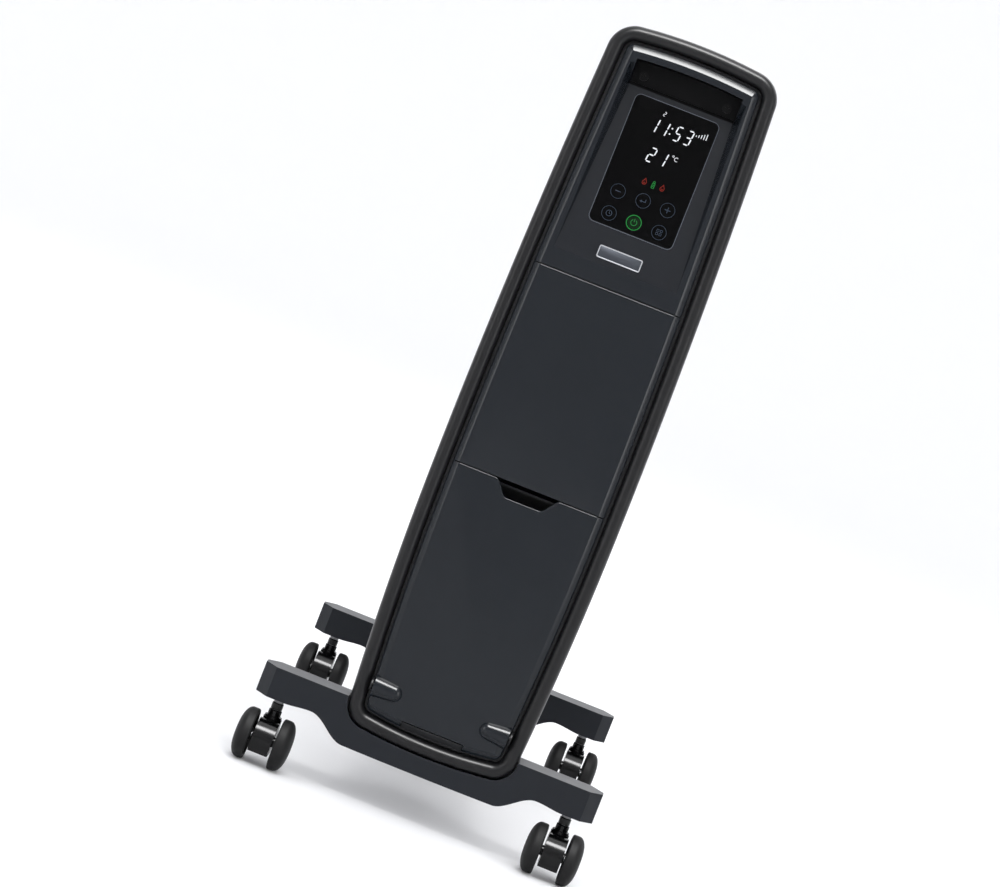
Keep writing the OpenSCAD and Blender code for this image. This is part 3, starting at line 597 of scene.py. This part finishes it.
def pocket_solid(grow, ahead):
    """The pocket in the fascia: a sloped floor, slanting side walls and an arched top wall. grow makes it
    larger all round, and ahead is the depth it starts at, less than zero in front of the panel."""
    top_steps = 24
    foot_half = POCKET_FOOT_HALF + grow
    arch = PANEL_SHAPE[5] - (PANEL_SHAPE[1] - MOUTH_TOP)

    def top_z(x):
        return MOUTH_TOP + grow - arch_drop(arch, x)

    def ring(bottom_half, top_half, bottom_d, top_d, bottom_z, top_of):
        points = [at(bottom_half, bottom_d, bottom_z)]
        for i in range(top_steps + 1):
            x = top_half * (1 - 2 * i / top_steps)
            points.append(at(x, top_d, top_of(x)))
        points.append(at(-bottom_half, bottom_d, bottom_z))
        return points

    slope = FACE_SINK / (FACE_HEAD - FACE_FOOT)
    foot_z = FACE_FOOT - grow
    rings = [ring(foot_half, MOUTH_HALF + grow, ahead, ahead, foot_z, top_z),
             ring(foot_half, MOUTH_HALF + grow, grow, grow, foot_z, top_z),
             ring(foot_half, POCKET_HEAD_HALF + grow, grow + 0.01, FACE_SINK + grow + slope * grow, foot_z,
                  lambda x: FACE_HEAD + grow)]
    return solid("pocket", rings, PANEL)


def recess_solid(grow, ahead, rounding):
    """The deep recess over the display face, under an arched ceiling, with rounded inner corners."""
    steps = 24
    rings = []
    back = RECESS_SINK + grow
    section = ((0, ahead), (0, back - rounding), (0.3 * rounding, back - 0.3 * rounding), (rounding, back))
    for inset, d in section:
        half, low, top = RECESS_HALF + grow - inset, RECESS_LOW - grow + inset, RECESS_TOP + grow - inset
        xs = [half * (1 - 2 * i / steps) for i in range(steps + 1)]
        ceiling = [at(x, d, top - arch_drop(RECESS_ARC, x)) for x in xs]
        rings.append([at(-half, d, low), at(half, d, low)] + ceiling)
    return solid("recess", rings, PANEL)


def make_fascia():
    fascia = make_plate("control_fascia_shell", FASCIA_FOOT, None, PANEL)
    fascia.data.materials.append(DISPLAY_FACE_PAINTED_REFLECTION)
    fascia.data.materials.append(RECESS_PAINTED_SHADE)
    combine(fascia, pocket_solid(SKIN, 1.2), "UNION")
    combine(fascia, recess_solid(SKIN, 3, 0.5), "UNION")
    combine(fascia, pocket_solid(0, -3), "DIFFERENCE")
    combine(fascia, recess_solid(0, -3, 1.5), "DIFFERENCE")
    window = rounded_slab("window", GLASS_W + 0.3, GLASS_H + 0.3, GLASS_CORNER, -12, 8, PANEL, 0.01,
                          (0, GLASS_MID))
    combine(fascia, window, "DIFFERENCE")
    face_normal = (on_face(0, 0, 1) - on_face(0, 0, 0)).normalized()
    low = on_face(0, 0, 0)
    for polygon in fascia.data.polygons:
        centre = Vector(polygon.center)
        # Faces on the sloped display face get its plastic with the painted bluish reflection.
        on_slope = abs((centre - low).dot(face_normal)) < 0.0002 and polygon.normal.dot(face_normal) > 0.99
        if on_slope:
            polygon.material_index = 1
        # Faces inside the recess get the near-black plastic, which is painted shade under the lip.
        inside = abs(centre.x) < (RECESS_HALF + 0.5) * MM and centre.z > (RECESS_LOW - 0.5) * MM
        if inside and centre.z < (RECESS_TOP + 0.5) * MM and centre.y > FACE_Y + 0.7 * MM:
            polygon.material_index = 2
    shade(fascia, 34)
    return soften(fascia, 0.55, 3, 36)


settle(make_fascia(), "heater", "panel", "control_fascia")


def make_band(name, w, h, r, v, section, material):
    """A closed band along a rounded rectangle on the face. section is (inset, height) points round it."""
    rings = []
    for inset, height in section:
        outline = rounded_rectangle(w - 2 * inset, h - 2 * inset, r - inset, centre=(0, v))
        rings.append([on_face(p.x, p.y, height) for p in outline])
    return skinned(name, rings, material, wrap=True)


def make_glass():
    glass = rounded_slab("touch_glass_sheet", GLASS_W, GLASS_H, GLASS_CORNER, -2.4, GLASS_PROUD, GLASS, 0.35,
                         (0, GLASS_MID))
    settle(glass, "heater", "touch_glass", "touch_glass")
    section = ((0, -0.5), (0, 0.14), (0.1, 0.24), (0.45, 0.24), (0.55, 0.14), (0.55, -0.5))
    # The band round the glass's edge carries the painted highlight.
    rim = make_band("touch_glass_edge", GLASS_W, GLASS_H, GLASS_CORNER, GLASS_MID, section, GLASS_EDGE_HIGHLIGHT)
    settle(rim, "heater", "touch_glass")


make_glass()


# ---- symbols behind the glass ----------------------------------------
SYMBOL_W = GLASS_PROUD + 0.01
SYMBOL_T = 0.04


class Symbols:
    """Flat lit shapes just over the glass, gathered by material into one piece each."""

    def __init__(self, name, material):
        self.bm = bmesh.new()
        self.name = name
        self.material = material
        self.lift = 0.0

    def polygon(self, points):
        low_w = SYMBOL_W + self.lift
        low = [self.bm.verts.new(on_face(p[0], p[1], low_w)) for p in points]
        high = [self.bm.verts.new(on_face(p[0], p[1], low_w + SYMBOL_T)) for p in points]
        count = len(points)
        self.bm.faces.new(low)
        self.bm.faces.new(high[::-1])
        for i in range(count):
            j = (i + 1) % count
            self.bm.faces.new((low[i], high[i], high[j], low[j]))

    def stroke(self, points, width, closed=False):
        """A line of even width with mitred corners."""
        points = [Vector(p) for p in points]
        count = len(points)
        sides = ([], [])
        for i, p in enumerate(points):
            before = points[i - 1] if closed or i else None
            after = points[(i + 1) % count] if closed or i < count - 1 else None
            ahead = (after - p).normalized() if after else (p - before).normalized()
            behind = (p - before).normalized() if before else ahead
            tangent = (ahead + behind).normalized()
            normal = Vector((-tangent.y, tangent.x))
            reach = width / 2 / max(0.4, normal.dot(Vector((-ahead.y, ahead.x))))
            sides[0].append(p + normal * reach)
            sides[1].append(p - normal * reach)
        spans = count if closed else count - 1
        for i in range(spans):
            j = (i + 1) % count
            self.polygon([sides[0][i], sides[1][i], sides[1][j], sides[0][j]])

    def ring(self, centre, radius, width, start=0, stop=360, steps=48):
        closed = stop - start >= 360
        count = steps if closed else steps + 1
        points = [Vector(centre) + polar(radius, radians(start + (stop - start) * i / steps))
                  for i in range(count)]
        self.stroke(points, width, closed)

    def finish(self):
        settle(piece_from_bmesh(self.name, self.bm, self.material), "heater", "touch_glass")


# Segments of a digit: top, upper right, lower right, bottom, lower left, upper left, middle
SEGMENTS = {"0": "ABCDEF", "1": "BC", "2": "ABGED", "3": "ABGCD", "5": "AFGCD"}
LEAN = 0.13
SIGNS_Z = 528.8                    # height of the fill mark and the flames


def digit(symbols, text, u, v, w, h, bar):
    """A seven segment digit centred at u, v."""
    x, y, gap = w / 2, h / 2, bar * 0.35
    lines = {"A": ((-x, y), (x, y)), "B": ((x, y), (x, 0)), "C": ((x, 0), (x, -y)), "D": ((-x, -y), (x, -y)),
             "E": ((-x, 0), (-x, -y)), "F": ((-x, y), (-x, 0)), "G": ((-x, 0), (x, 0))}
    for name in SEGMENTS[text]:
        a, b = Vector(lines[name][0]), Vector(lines[name][1])
        along = (b - a).normalized()
        side = Vector((-along.y, along.x)) * bar / 2
        a, b = a + along * gap, b - along * gap
        outline = [a, a + along * bar / 2 + side, b - along * bar / 2 + side, b, b - along * bar / 2 - side,
                   a + along * bar / 2 - side]
        symbols.polygon([(u + p.x + LEAN * p.y, v + p.y) for p in outline])


def up_face(z):
    """Distance up the sloped face at a height above the floor."""
    return (z - FACE_FOOT) / cos(TILT)


def make_digits():
    """A clock reading over a temperature, with a small zone number and a row of level bars."""
    white = Symbols("lit_digits", LIT_WHITE)
    bar = 1.0
    clock_v, clock_w, clock_h = up_face(571.5), 4.2, 11.2
    for text, u in (("1", -12.6), ("1", -4.4), ("5", 6.6), ("3", 15.2)):
        digit(white, text, u, clock_v, clock_w, clock_h, bar)
    colon_u, dot_away, dot_r = 0.7, 2.3, 0.3
    for dv in (-dot_away, dot_away):
        white.ring((colon_u + LEAN * dv, clock_v + dv), dot_r, 2 * dot_r)
    degrees_v, degrees_w, degrees_h = up_face(549.4), 4.4, 11.0
    for text, u in (("2", -6.5), ("1", 2.9)):
        digit(white, text, u, degrees_v, degrees_w, degrees_h, bar)
    white.ring((9.6, degrees_v + 5), 0.6, 0.35)
    white.ring((12.6, degrees_v + 3.4), 1.5, 0.4, 50, 310)
    digit(white, "2", -8.3, up_face(582), 1.5, 3.2, 0.45)
    level_u, level_v, level_gap, level_w = 20, up_face(574.5), 2, 0.6
    for i in range(5):
        u = level_u + level_gap * i
        white.stroke([(u, level_v), (u, level_v + 1.2 + 0.9 * i)], level_w)
    white.finish()


def make_buttons():
    """Two rows of three touch buttons: minus, enter and plus over timer, power and grid."""
    dim = Symbols("dim_symbols", LIT_DIM)
    ring_r, line = 5.6, 0.32
    rows = ((514.6, (-20, 0.5, 20.5)), (496.6, (-20.3, 0, 20.6)))
    centres = [[Vector((u, up_face(z))) for u in us] for z, us in rows]
    minus, enter, plus = centres[0]
    timer, power, grid = centres[1]
    for centre in (minus, enter, plus, timer, grid):
        dim.ring(centre, ring_r, line)
    dim.stroke([minus + Vector((-2.1, 0)), minus + Vector((2.1, 0))], 0.6)
    dim.stroke([plus + Vector((-2.3, 0)), plus + Vector((2.3, 0))], 0.6)
    dim.stroke([plus + Vector((0, -2.3)), plus + Vector((0, 2.3))], 0.6)
    dim.stroke([enter + Vector(p) for p in ((1.9, 1.6), (1.9, -0.6), (-1.7, -0.6))], 0.5)
    dim.polygon([enter + Vector(p) for p in ((-2.5, -0.6), (-1.0, 0.5), (-1.0, -1.7))])
    dim.ring(timer, 2.2, 0.45)
    dim.stroke([timer + Vector(p) for p in ((0, 1.3), (0, 0), (1.1, -0.4))], 0.4)
    square = ((-0.8, -0.8), (0.8, -0.8), (0.8, 0.8), (-0.8, 0.8))
    for du in (-1.35, 1.35):
        for dv in (-1.35, 1.35):
            dim.stroke([grid + Vector((du + p[0], dv + p[1])) for p in square], 0.35, True)
    dim.finish()

    glow = Symbols("power_glow", LIT_DEEP_GREEN)
    glow.polygon([power + polar(4.9, radians(a)) for a in range(0, 360, 10)])
    glow.finish()
    green = Symbols("green_symbols", LIT_GREEN)
    green.ring(power, 5.7, 0.6)
    green.lift = 0.05
    green.ring(power, 2.3, 0.45, 120, 420)
    green.stroke([power + Vector((0, 0.4)), power + Vector((0, 3.0))], 0.45)
    make_tank(green, Vector((3.3, up_face(SIGNS_Z))))
    green.finish()


def make_tank(green, tank):
    """The fill mark: a small bottle."""
    green.stroke([tank + Vector(p) for p in ((-1.0, -2.7), (1.0, -2.7), (1.0, 1.1), (-1.0, 1.1))], 0.4, True)
    green.ring(tank + Vector((0, 2.0)), 0.7, 0.35)
    green.stroke([tank + Vector((0, -1.7)), tank + Vector((0, 0.2))], 0.6)


def make_flames():
    red = Symbols("red_symbols", LIT_RED)
    flame = ((0.2, 3.0), (1.0, 1.5), (1.9, 0.1), (1.7, -1.6), (0.6, -2.6), (-0.8, -2.6), (-1.8, -1.5),
             (-1.7, 0.1), (-0.9, 0.9), (-0.4, 1.8))
    for u in (-4, 10.5):
        centre = Vector((u, up_face(SIGNS_Z)))
        red.stroke([centre + Vector(p) * 0.85 for p in flame], 0.5, True)
        red.ring(centre + Vector((0, -1.0)), 0.45, 0.4)
    red.finish()


make_digits()
make_buttons()
make_flames()


def make_name_plate():
    """A blank plate with a raised bright rim."""
    w, h, v = 35.2, 9.9, 9.4
    plate = rounded_slab("blank_plate", w - 1.2, h - 1.2, 0.8, 0.01, 0.5, PLATE_METAL, 0.15, (0, v))
    section = ((0, 0.01), (0, 0.6), (0.2, 0.8), (0.6, 0.8), (0.85, 0.6), (0.85, 0.01))
    rim = make_band("plate_rim", w, h, 1.5, v, section, PLATE_RIM)
    settle(plate, "heater", "name_plate", "name_plate")
    settle(rim, "heater", "name_plate")


make_name_plate()


# ---- back panel ------------------------------------------------------
GRIP_HALF, GRIP_LOW, GRIP_TOP, GRIP_SINK = 40, 560, 596, 26


def make_back_panel():
    panel = make_plate("back_panel_shell", None, None, PANEL, at_back)
    mirrored = Matrix.Translation((0, FACE_Y + BACK_Y, 0)) @ Matrix.Scale(-1, 4, (0, 1, 0))
    for grow, front, operation in ((SKIN, 2, "UNION"), (0, -3, "DIFFERENCE")):
        low = (-GRIP_HALF - grow, front, GRIP_LOW - grow)
        high = (GRIP_HALF + grow, GRIP_SINK + grow, GRIP_TOP + grow)
        tub = block("tub", low, high, PANEL, 4 if operation == "DIFFERENCE" else 0)
        tub.data.transform(mirrored)
        tub.data.flip_normals()
        combine(panel, tub, operation)
    shade(panel, 34)
    return soften(panel, 0.8, 3, 40)


settle(make_back_panel(), "heater", "panel", "back_panel")


# ---- feet ------------------------------------------------------------
ARM_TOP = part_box("front_foot")[1].z / MM
ARM_FOOT, CASTOR_X = 52.5, JOINTS["swivel_front_right"]["pos_m"][0] / MM
BELLY_MID, BELLY_LOW, BELLY_X = 38.2, 38.6, 62.0
SHOULDER_X, SHOULDER_Z = 94.0, 54.5
TIP_BEVEL, CRADLE_GAP = 10.0, 0.3


def ease(u):
    return (1 - cos(pi * u)) / 2


def glide(x0, z0, x1, z1, steps=18):
    shares = [i / steps for i in range(1, steps + 1)]
    return [Vector((x0 + (x1 - x0) * u, z0 + (z1 - z0) * ease(u))) for u in shares]


def foot_profile():
    """Right half of the foot from the front, from the middle of its underside to the middle of the cradle."""
    belly = [Vector((BELLY_X * i / 8, BELLY_MID - (BELLY_MID - BELLY_LOW) * (i / 8) ** 2)) for i in range(9)]
    under = belly + glide(BELLY_X, BELLY_LOW, SHOULDER_X, SHOULDER_Z)
    under += glide(SHOULDER_X, SHOULDER_Z, CASTOR_X - 4, ARM_FOOT)
    cradle = [p for p in half_outline(CASE, -CRADLE_GAP, side=40) if p.y < ARM_TOP]
    return under + [Vector((FOOT_HALF, ARM_FOOT)), Vector((FOOT_HALF, ARM_TOP)),
                    Vector((cradle[-1].x + 0.5, ARM_TOP))] + cradle[::-1]


def hollow_arm(foot, side, place):
    """Hollows an arm from below, round the socket of its castor."""
    wall = 3
    a, b = sorted((side * (SHOULDER_X - 4), side * (FOOT_HALF - TIP_BEVEL)))
    low = place(a, FOOT_IN + wall, 30)
    high = place(b, FOOT_IN + FOOT_DEPTH - wall, ARM_TOP - wall)
    hollow = box_between("hollow", low, high, FOOT)
    middle_d = FOOT_IN + FOOT_DEPTH / 2
    socket = turned("socket", [(7, 20), (7, ARM_TOP - 1)],
                    lambda u, v, z: place(side * CASTOR_X + u, middle_d + v, z), FOOT, 40)
    combine(hollow, socket, "DIFFERENCE")
    combine(foot, hollow, "DIFFERENCE")


def make_foot(name, node, place):
    points = whole(foot_profile())
    ends = (FOOT_IN, FOOT_IN + FOOT_DEPTH)
    bm = bmesh.new()
    skin(bm, [[place(p.x, d, p.y) for p in points] for d in ends], cap_first=True, cap_last=True)
    for side in (-1, 1):
        for d, toward in zip(ends, (-1, 1)):
            corner = place(side * (FOOT_HALF - TIP_BEVEL), d, 0)
            outward = place(side * 1, toward * 1, 0) - place(0, 0, 0)
            cut = bmesh.ops.bisect_plane(bm, geom=bm.verts[:] + bm.edges[:] + bm.faces[:], plane_co=corner,
                                         plane_no=outward, clear_outer=True)
            edges = [e for e in cut["geom_cut"] if isinstance(e, bmesh.types.BMEdge)]
            bmesh.ops.contextual_create(bm, geom=edges)
    foot = piece_from_bmesh(name, bm, FOOT, 36)
    for side in (-1, 1):
        hollow_arm(foot, side, place)
    shade(foot, 36)
    soften(foot, 1.1, 3, 40)
    settle(foot, "heater", "foot", node)


make_foot("front_foot_bar", "front_foot", at)
make_foot("back_foot_bar", "back_foot", at_back)


# ---- castors ---------------------------------------------------------
WHEEL_R = 20.5
RIM_W, DOME = 7.4, 12.6
AXLE_R, HUB_R = 2.0, 4.2
HOOD_R, HOOD_HALF = 15.3, 8.0
BODY_FOOT = 10.5                   # how far the body reaches below the axle
BORE_R, STEM_R, COLLAR_R, COLLAR_H, SLEEVE_R = 3.05, 3, 4, 3.6, 4.6
NECK_TOP = 43
# (radius, height) profiles of the three steps of the neck
NECK = ([(7.5, 22), (7.5, 36.1), (7.1, 36.5)], [(6.9, 22), (6.9, 37.6), (6.5, 38)],
        [(5.2, 24), (5.2, NECK_TOP - 0.6), (4.6, NECK_TOP)])


def wheel_profile():
    """(radius, distance outwards) round a wheel: recessed inner face, soft-shouldered tread, domed face."""
    profile = [(AXLE_R + 0.05, 0.2), (4.6, 0.0), (5.0, 0.2), (5.3, 0.6), (5.3, 3.2), (5.8, 3.7),
               (WHEEL_R - 4.4, 3.7), (WHEEL_R - 3.6, 3.4), (WHEEL_R - 3.2, 2.8), (WHEEL_R - 2.9, 0.5),
               (WHEEL_R - 2.4, 0.1), (WHEEL_R - 1.6, 0.0)]
    profile += [(WHEEL_R - 1.6 + 1.6 * sin(radians(a)), 1.6 - 1.6 * cos(radians(a)))
                for a in range(15, 91, 15)]
    tread_end = RIM_W - 2.2
    profile += [(WHEEL_R, tread_end)]
    steps = 16
    for i in range(1, steps + 1):
        a = pi / 2 * i / steps
        profile.append((WHEEL_R * cos(a) ** 0.72, tread_end + (DOME - tread_end) * sin(a) ** 0.95))
    return [(max(r, 0.02), w) for r, w in profile]


def body_outline():
    """Side view of a castor body about its axle: a round hood that is cut off level below the axle."""
    start = asin(-BODY_FOOT / HOOD_R)
    return arc(Vector((0, 0)), HOOD_R, start, pi - start, 54)


def upright(foot):
    """Places turned points round an upright line through a point on the floor."""
    return lambda u, v, z: foot + Vector((u, v, z)) * MM


def along_axle(axle):
    return lambda u, v, x: axle + Vector((x, u, v)) * MM


def cut_neck_slot(shell, stem, angle):
    bm = bmesh.new()
    bmesh.ops.create_cube(bm, size=1)
    spin = Matrix.Rotation(angle, 4, "Z")
    for v in bm.verts:
        local = Vector((5.6 + v.co.x * 1.6, v.co.y * 1.6, 40.6 + v.co.z * 3.4))
        v.co = stem + (spin @ local) * MM
    combine(shell, piece_from_bmesh("slot", bm, CASTOR), "DIFFERENCE")


def make_castor_body(place_name, stem, axle):
    """A round hood over the axle, a stepped neck with slots, hub bosses and the stem's bore."""
    rings = [[axle + Vector((x, p.x, p.y)) * MM for p in body_outline()] for x in (-HOOD_HALF, HOOD_HALF)]
    shell = solid("castor_shell_" + place_name, rings, CASTOR, 30)
    for profile in NECK:
        combine(shell, turned("neck", profile, upright(stem), CASTOR, 48), "UNION")
    for turn in range(8):
        cut_neck_slot(shell, stem, pi * (turn + 0.5) / 4)
    hub = [(HUB_R - 0.5, -9.6), (HUB_R, -9.1), (HUB_R, 9.1), (HUB_R - 0.5, 9.6)]
    combine(shell, turned("hubs", hub, along_axle(axle), CASTOR, 40), "UNION")
    combine(shell, turned("bore", [(BORE_R, 25.5), (BORE_R, 60)], upright(stem), CASTOR, 32), "DIFFERENCE")
    shade(shell, 30)
    return soften(shell, 0.5, 3, 36)


def make_castor_stem(place_name, stem):
    """A steel stem with a short collar under the foot, in a black sleeve down to the castor's neck."""
    low, high = [corner.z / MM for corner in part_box("stem_" + place_name)]
    collar = ARM_FOOT - COLLAR_H
    profile = [(STEM_R - 0.4, low), (STEM_R, low + 0.4), (STEM_R, collar), (COLLAR_R - 0.3, collar + 0.2),
               (COLLAR_R, collar + 0.5), (COLLAR_R, ARM_FOOT), (STEM_R, ARM_FOOT), (STEM_R, high - 0.4),
               (STEM_R - 0.4, high)]
    steel = turned("castor_stem_" + place_name, profile, upright(stem), STEM_METAL, 40)
    settle(steel, "heater", "steel", "stem_" + place_name)
    profile = [(SLEEVE_R - 0.3, NECK_TOP + 0.4), (SLEEVE_R, NECK_TOP + 0.7), (SLEEVE_R, collar - 0.6),
               (SLEEVE_R - 0.4, collar - 0.2)]
    sleeve = turned("castor_sleeve_" + place_name, profile, upright(stem), CASTOR, 40)
    settle(sleeve, "heater", "castor_body")


def make_castor(place_name):
    body = "castor_" + place_name
    joint = JOINTS["swivel_" + place_name]["pos_m"]
    side = 1 if joint[0] > 0 else -1
    stem = Vector((joint[0], joint[1], 0))
    wheel_at = JOINTS["roll_%s_outer" % place_name]["pos_m"]
    axle = Vector((joint[0], wheel_at[1], wheel_at[2]))
    settle(make_castor_body(place_name, stem, axle), body, "castor_body", "body_" + place_name)
    rod = [(AXLE_R - 0.2, -18), (AXLE_R, -17.8), (AXLE_R, 17.8), (AXLE_R - 0.2, 18)]
    settle(turned("castor_axle_" + place_name, rod, along_axle(axle), STEEL, 32), body, "steel")
    make_castor_stem(place_name, stem)
    for which, out in (("outer", side), ("inner", -side)):
        wheel = turned("castor_%s_wheel_%s" % (which, place_name), wheel_profile(),
                       lambda u, v, w: axle + Vector((out * (10 + w), u, v)) * MM, WHEEL, 96, 40)
        settle(wheel, "wheel_%s_%s" % (place_name, which), "castor_wheel",
               "%s_wheel_%s" % (which, place_name))


for end in ("front", "back"):
    for hand in ("left", "right"):
        make_castor("%s_%s" % (end, hand))


# ---- fins ------------------------------------------------------------
FIN_LOW, FIN_HIGH, FIN_HALF, FIN_CORNER = 84.0, 624.0, 64.0, 20.0
FIN_SKIN, FLANGE_W = 1.2, 26.0
CHANNEL_X, CHANNEL_R = 34.0, 7.0
HEADER_LOW, HEADER_HIGH, BOSS_R = 118.0, 588.0, 24.0


def smooth_step(u):
    u = min(1.0, max(0.0, u))
    return u * u * (3 - 2 * u)


def swell(x, z):
    """Half thickness of a pressed fin at a point: flat sheet, oil channels, cross channels and bosses."""
    flat = FIN_SKIN / 2
    height = 0.0
    z_in = min(max(z, HEADER_LOW), HEADER_HIGH)
    for cx in (-CHANNEL_X, 0, CHANNEL_X):
        height = max(height, 1 - hypot(x - cx, z - z_in) / (CHANNEL_R + 4))
    for hz in (HEADER_LOW, HEADER_HIGH):
        x_in = min(max(x, -CHANNEL_X), CHANNEL_X)
        height = max(height, 1 - hypot(x - x_in, z - hz) / (CHANNEL_R + 4))
        height = max(height, min(1.0, (BOSS_R + 3 - hypot(x, z - hz)) / 6))
    return flat + (CHANNEL_R - 0.2 - flat) * smooth_step(height * 1.7)


def add_flange(fin, side, middle_y):
    """The broad folded edge down one side of a fin."""
    low, high, corner = FIN_LOW + FIN_CORNER - 4, FIN_HIGH - FIN_CORNER + 4, 6
    inner, edge = FIN_HALF - FIN_SKIN, 0.25
    rings = []
    for inset, x in ((edge, inner), (0, inner + edge), (0, FIN_HALF - edge), (edge, FIN_HALF)):
        outline = rounded_rectangle(FLANGE_W - 2 * inset, high - low - 2 * inset, corner - inset,
                                    centre=(0, (low + high) / 2))
        rings.append([Vector((side * x * MM, middle_y + p.x * MM, p.y * MM)) for p in outline])
    combine(fin, solid("flange", rings, FIN_PAINT), "UNION")


def make_fin(number):
    node = "fin_%d" % number
    low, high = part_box(node)
    middle_y = (low.y + high.y) / 2
    columns, rows = 64, 150
    bm = bmesh.new()
    grids = []
    for facing in (-1, 1):
        grid = []
        for r in range(rows + 1):
            z = FIN_LOW + (FIN_HIGH - FIN_LOW) * r / rows
            from_end = min(z - FIN_LOW, FIN_HIGH - z)
            half = FIN_HALF - FIN_SKIN / 2
            if from_end < FIN_CORNER:
                half += sqrt(max(0, FIN_CORNER ** 2 - (FIN_CORNER - from_end) ** 2)) - FIN_CORNER
            row = []
            for c in range(columns + 1):
                x = half * (2 * c / columns - 1)
                row.append(bm.verts.new(Vector((x * MM, middle_y + facing * swell(x, z) * MM, z * MM))))
            grid.append(row)
        grids.append(grid)
        for r in range(rows):
            for c in range(columns):
                bm.faces.new((grid[r][c], grid[r][c + 1], grid[r + 1][c + 1], grid[r + 1][c]))
    front, back = grids
    rim = ([(0, c) for c in range(columns + 1)] + [(r, columns) for r in range(1, rows + 1)]
           + [(rows, c) for c in range(columns - 1, -1, -1)] + [(r, 0) for r in range(rows - 1, 0, -1)])
    for i, (r, c) in enumerate(rim):
        r2, c2 = rim[(i + 1) % len(rim)]
        bm.faces.new((front[r][c], front[r2][c2], back[r2][c2], back[r][c]))
    fin = piece_from_bmesh("fin_sheet_%d" % number, bm, FIN_PAINT, 50)
    for side in (-1, 1):
        add_flange(fin, side, middle_y)
    shade(fin, 40)
    settle(fin, "heater", "fin", node)


FIN_NODES = [node for node in frame["nodes"] if node.startswith("fin_")]
for index in range(1, 1 + len(FIN_NODES)):
    make_fin(index)


# ---- CAD nodes that stay ---------------------------------------------
def repaint(node, look):
    part = frame["nodes"][node]
    part.data.materials.clear()
    part.data.materials.append(look)


for look, *nodes in CAD_LOOKS:
    for node in nodes:
        repaint(node, look)
for node in ("front_housing", "back_housing"):
    soften(frame["nodes"][node], 1.2, 3, 40, weld=1e-6)
for node in ("cord_bay", "cord_gland", "recess_screws", "element_plug", "oil_filler_plug", "foot_screws",
             "relays", "transformer", "terminal_block", "front_end_plate", "back_end_plate"):
    soften(frame["nodes"][node], 0.3, 2, 40, weld=1e-6)


# ---- stage and lights ------------------------------------------------
def make_stage():
    """A pale floor that curves up into a round wall on all sides."""
    material, _, shader = new_material("pale_backdrop")
    shader.inputs["Base Color"].default_value = (0.93, 0.93, 0.935, 1)
    shader.inputs["Roughness"].default_value = 0.85
    shader.inputs["Specular IOR Level"].default_value = 0.1
    flat_r, bend_r, wall_top = 5.0, 2.5, 6.0
    profile = [(0.001, 0.0), (flat_r, 0.0)]
    profile += [(flat_r + bend_r * sin(radians(a)), bend_r - bend_r * cos(radians(a)))
                for a in range(6, 91, 6)]
    profile += [(flat_r + bend_r, wall_top)]
    steps = 96
    rings = [[Vector((*polar(r, 2 * pi * i / steps), z)) for i in range(steps)] for r, z in profile]
    stage = skinned("stage", rings, material, 40, cap_first=True)
    stage.data.flip_normals()


def make_area(name, place, aim, size, power, color=(1, 1, 1)):
    data = bpy.data.lights.new(name, "AREA")
    data.shape = "RECTANGLE"
    data.size, data.size_y = size
    data.energy = power
    data.color = color
    light = bpy.data.objects.new(name, data)
    light.location = place
    light.rotation_euler = (Vector(aim) - Vector(place)).to_track_quat("-Z", "Y").to_euler()
    scene.collection.objects.link(light)
    return light


def make_lights():
    """An even white surround. The softboxes ahead show in the top and side chamfers of the front panel."""
    world = bpy.data.worlds.new("soft_world")
    scene.world = world
    world.use_nodes = True
    background = world.node_tree.nodes["Background"]
    background.inputs["Color"].default_value = (0.96, 0.97, 1.0, 1)
    background.inputs["Strength"].default_value = 1.19
    top = CASE_TOP * MM
    make_area("top_softbox", (0.0, FACE_Y - 0.95, top + 1.52), (0, FACE_Y, top), (1.1, 0.4), 12)
    gloss = make_area("chamfer_softbox", (0.0, FACE_Y - 0.94, top + 1.5), (0, FACE_Y, top), (1.2, 0.8), 115)
    gloss.visible_diffuse = False
    make_area("overhead_softbox", (0.0, 0.0, top + 1.6), (0, 0, top), (0.9, 0.9), 5)
    for name, x in (("left_softbox", -1.75), ("right_softbox", 1.75)):
        make_area(name, (x, FACE_Y - 1.15, 0.5), (0, FACE_Y, 0.35), (0.45, 1.5), 12)
    make_area("back_softbox", (0.5, 2.6, 2.0), (0, 0, 0.35), (1.6, 1.2), 20)
    scene.view_settings.view_transform = "Standard"


make_stage()
make_lights()
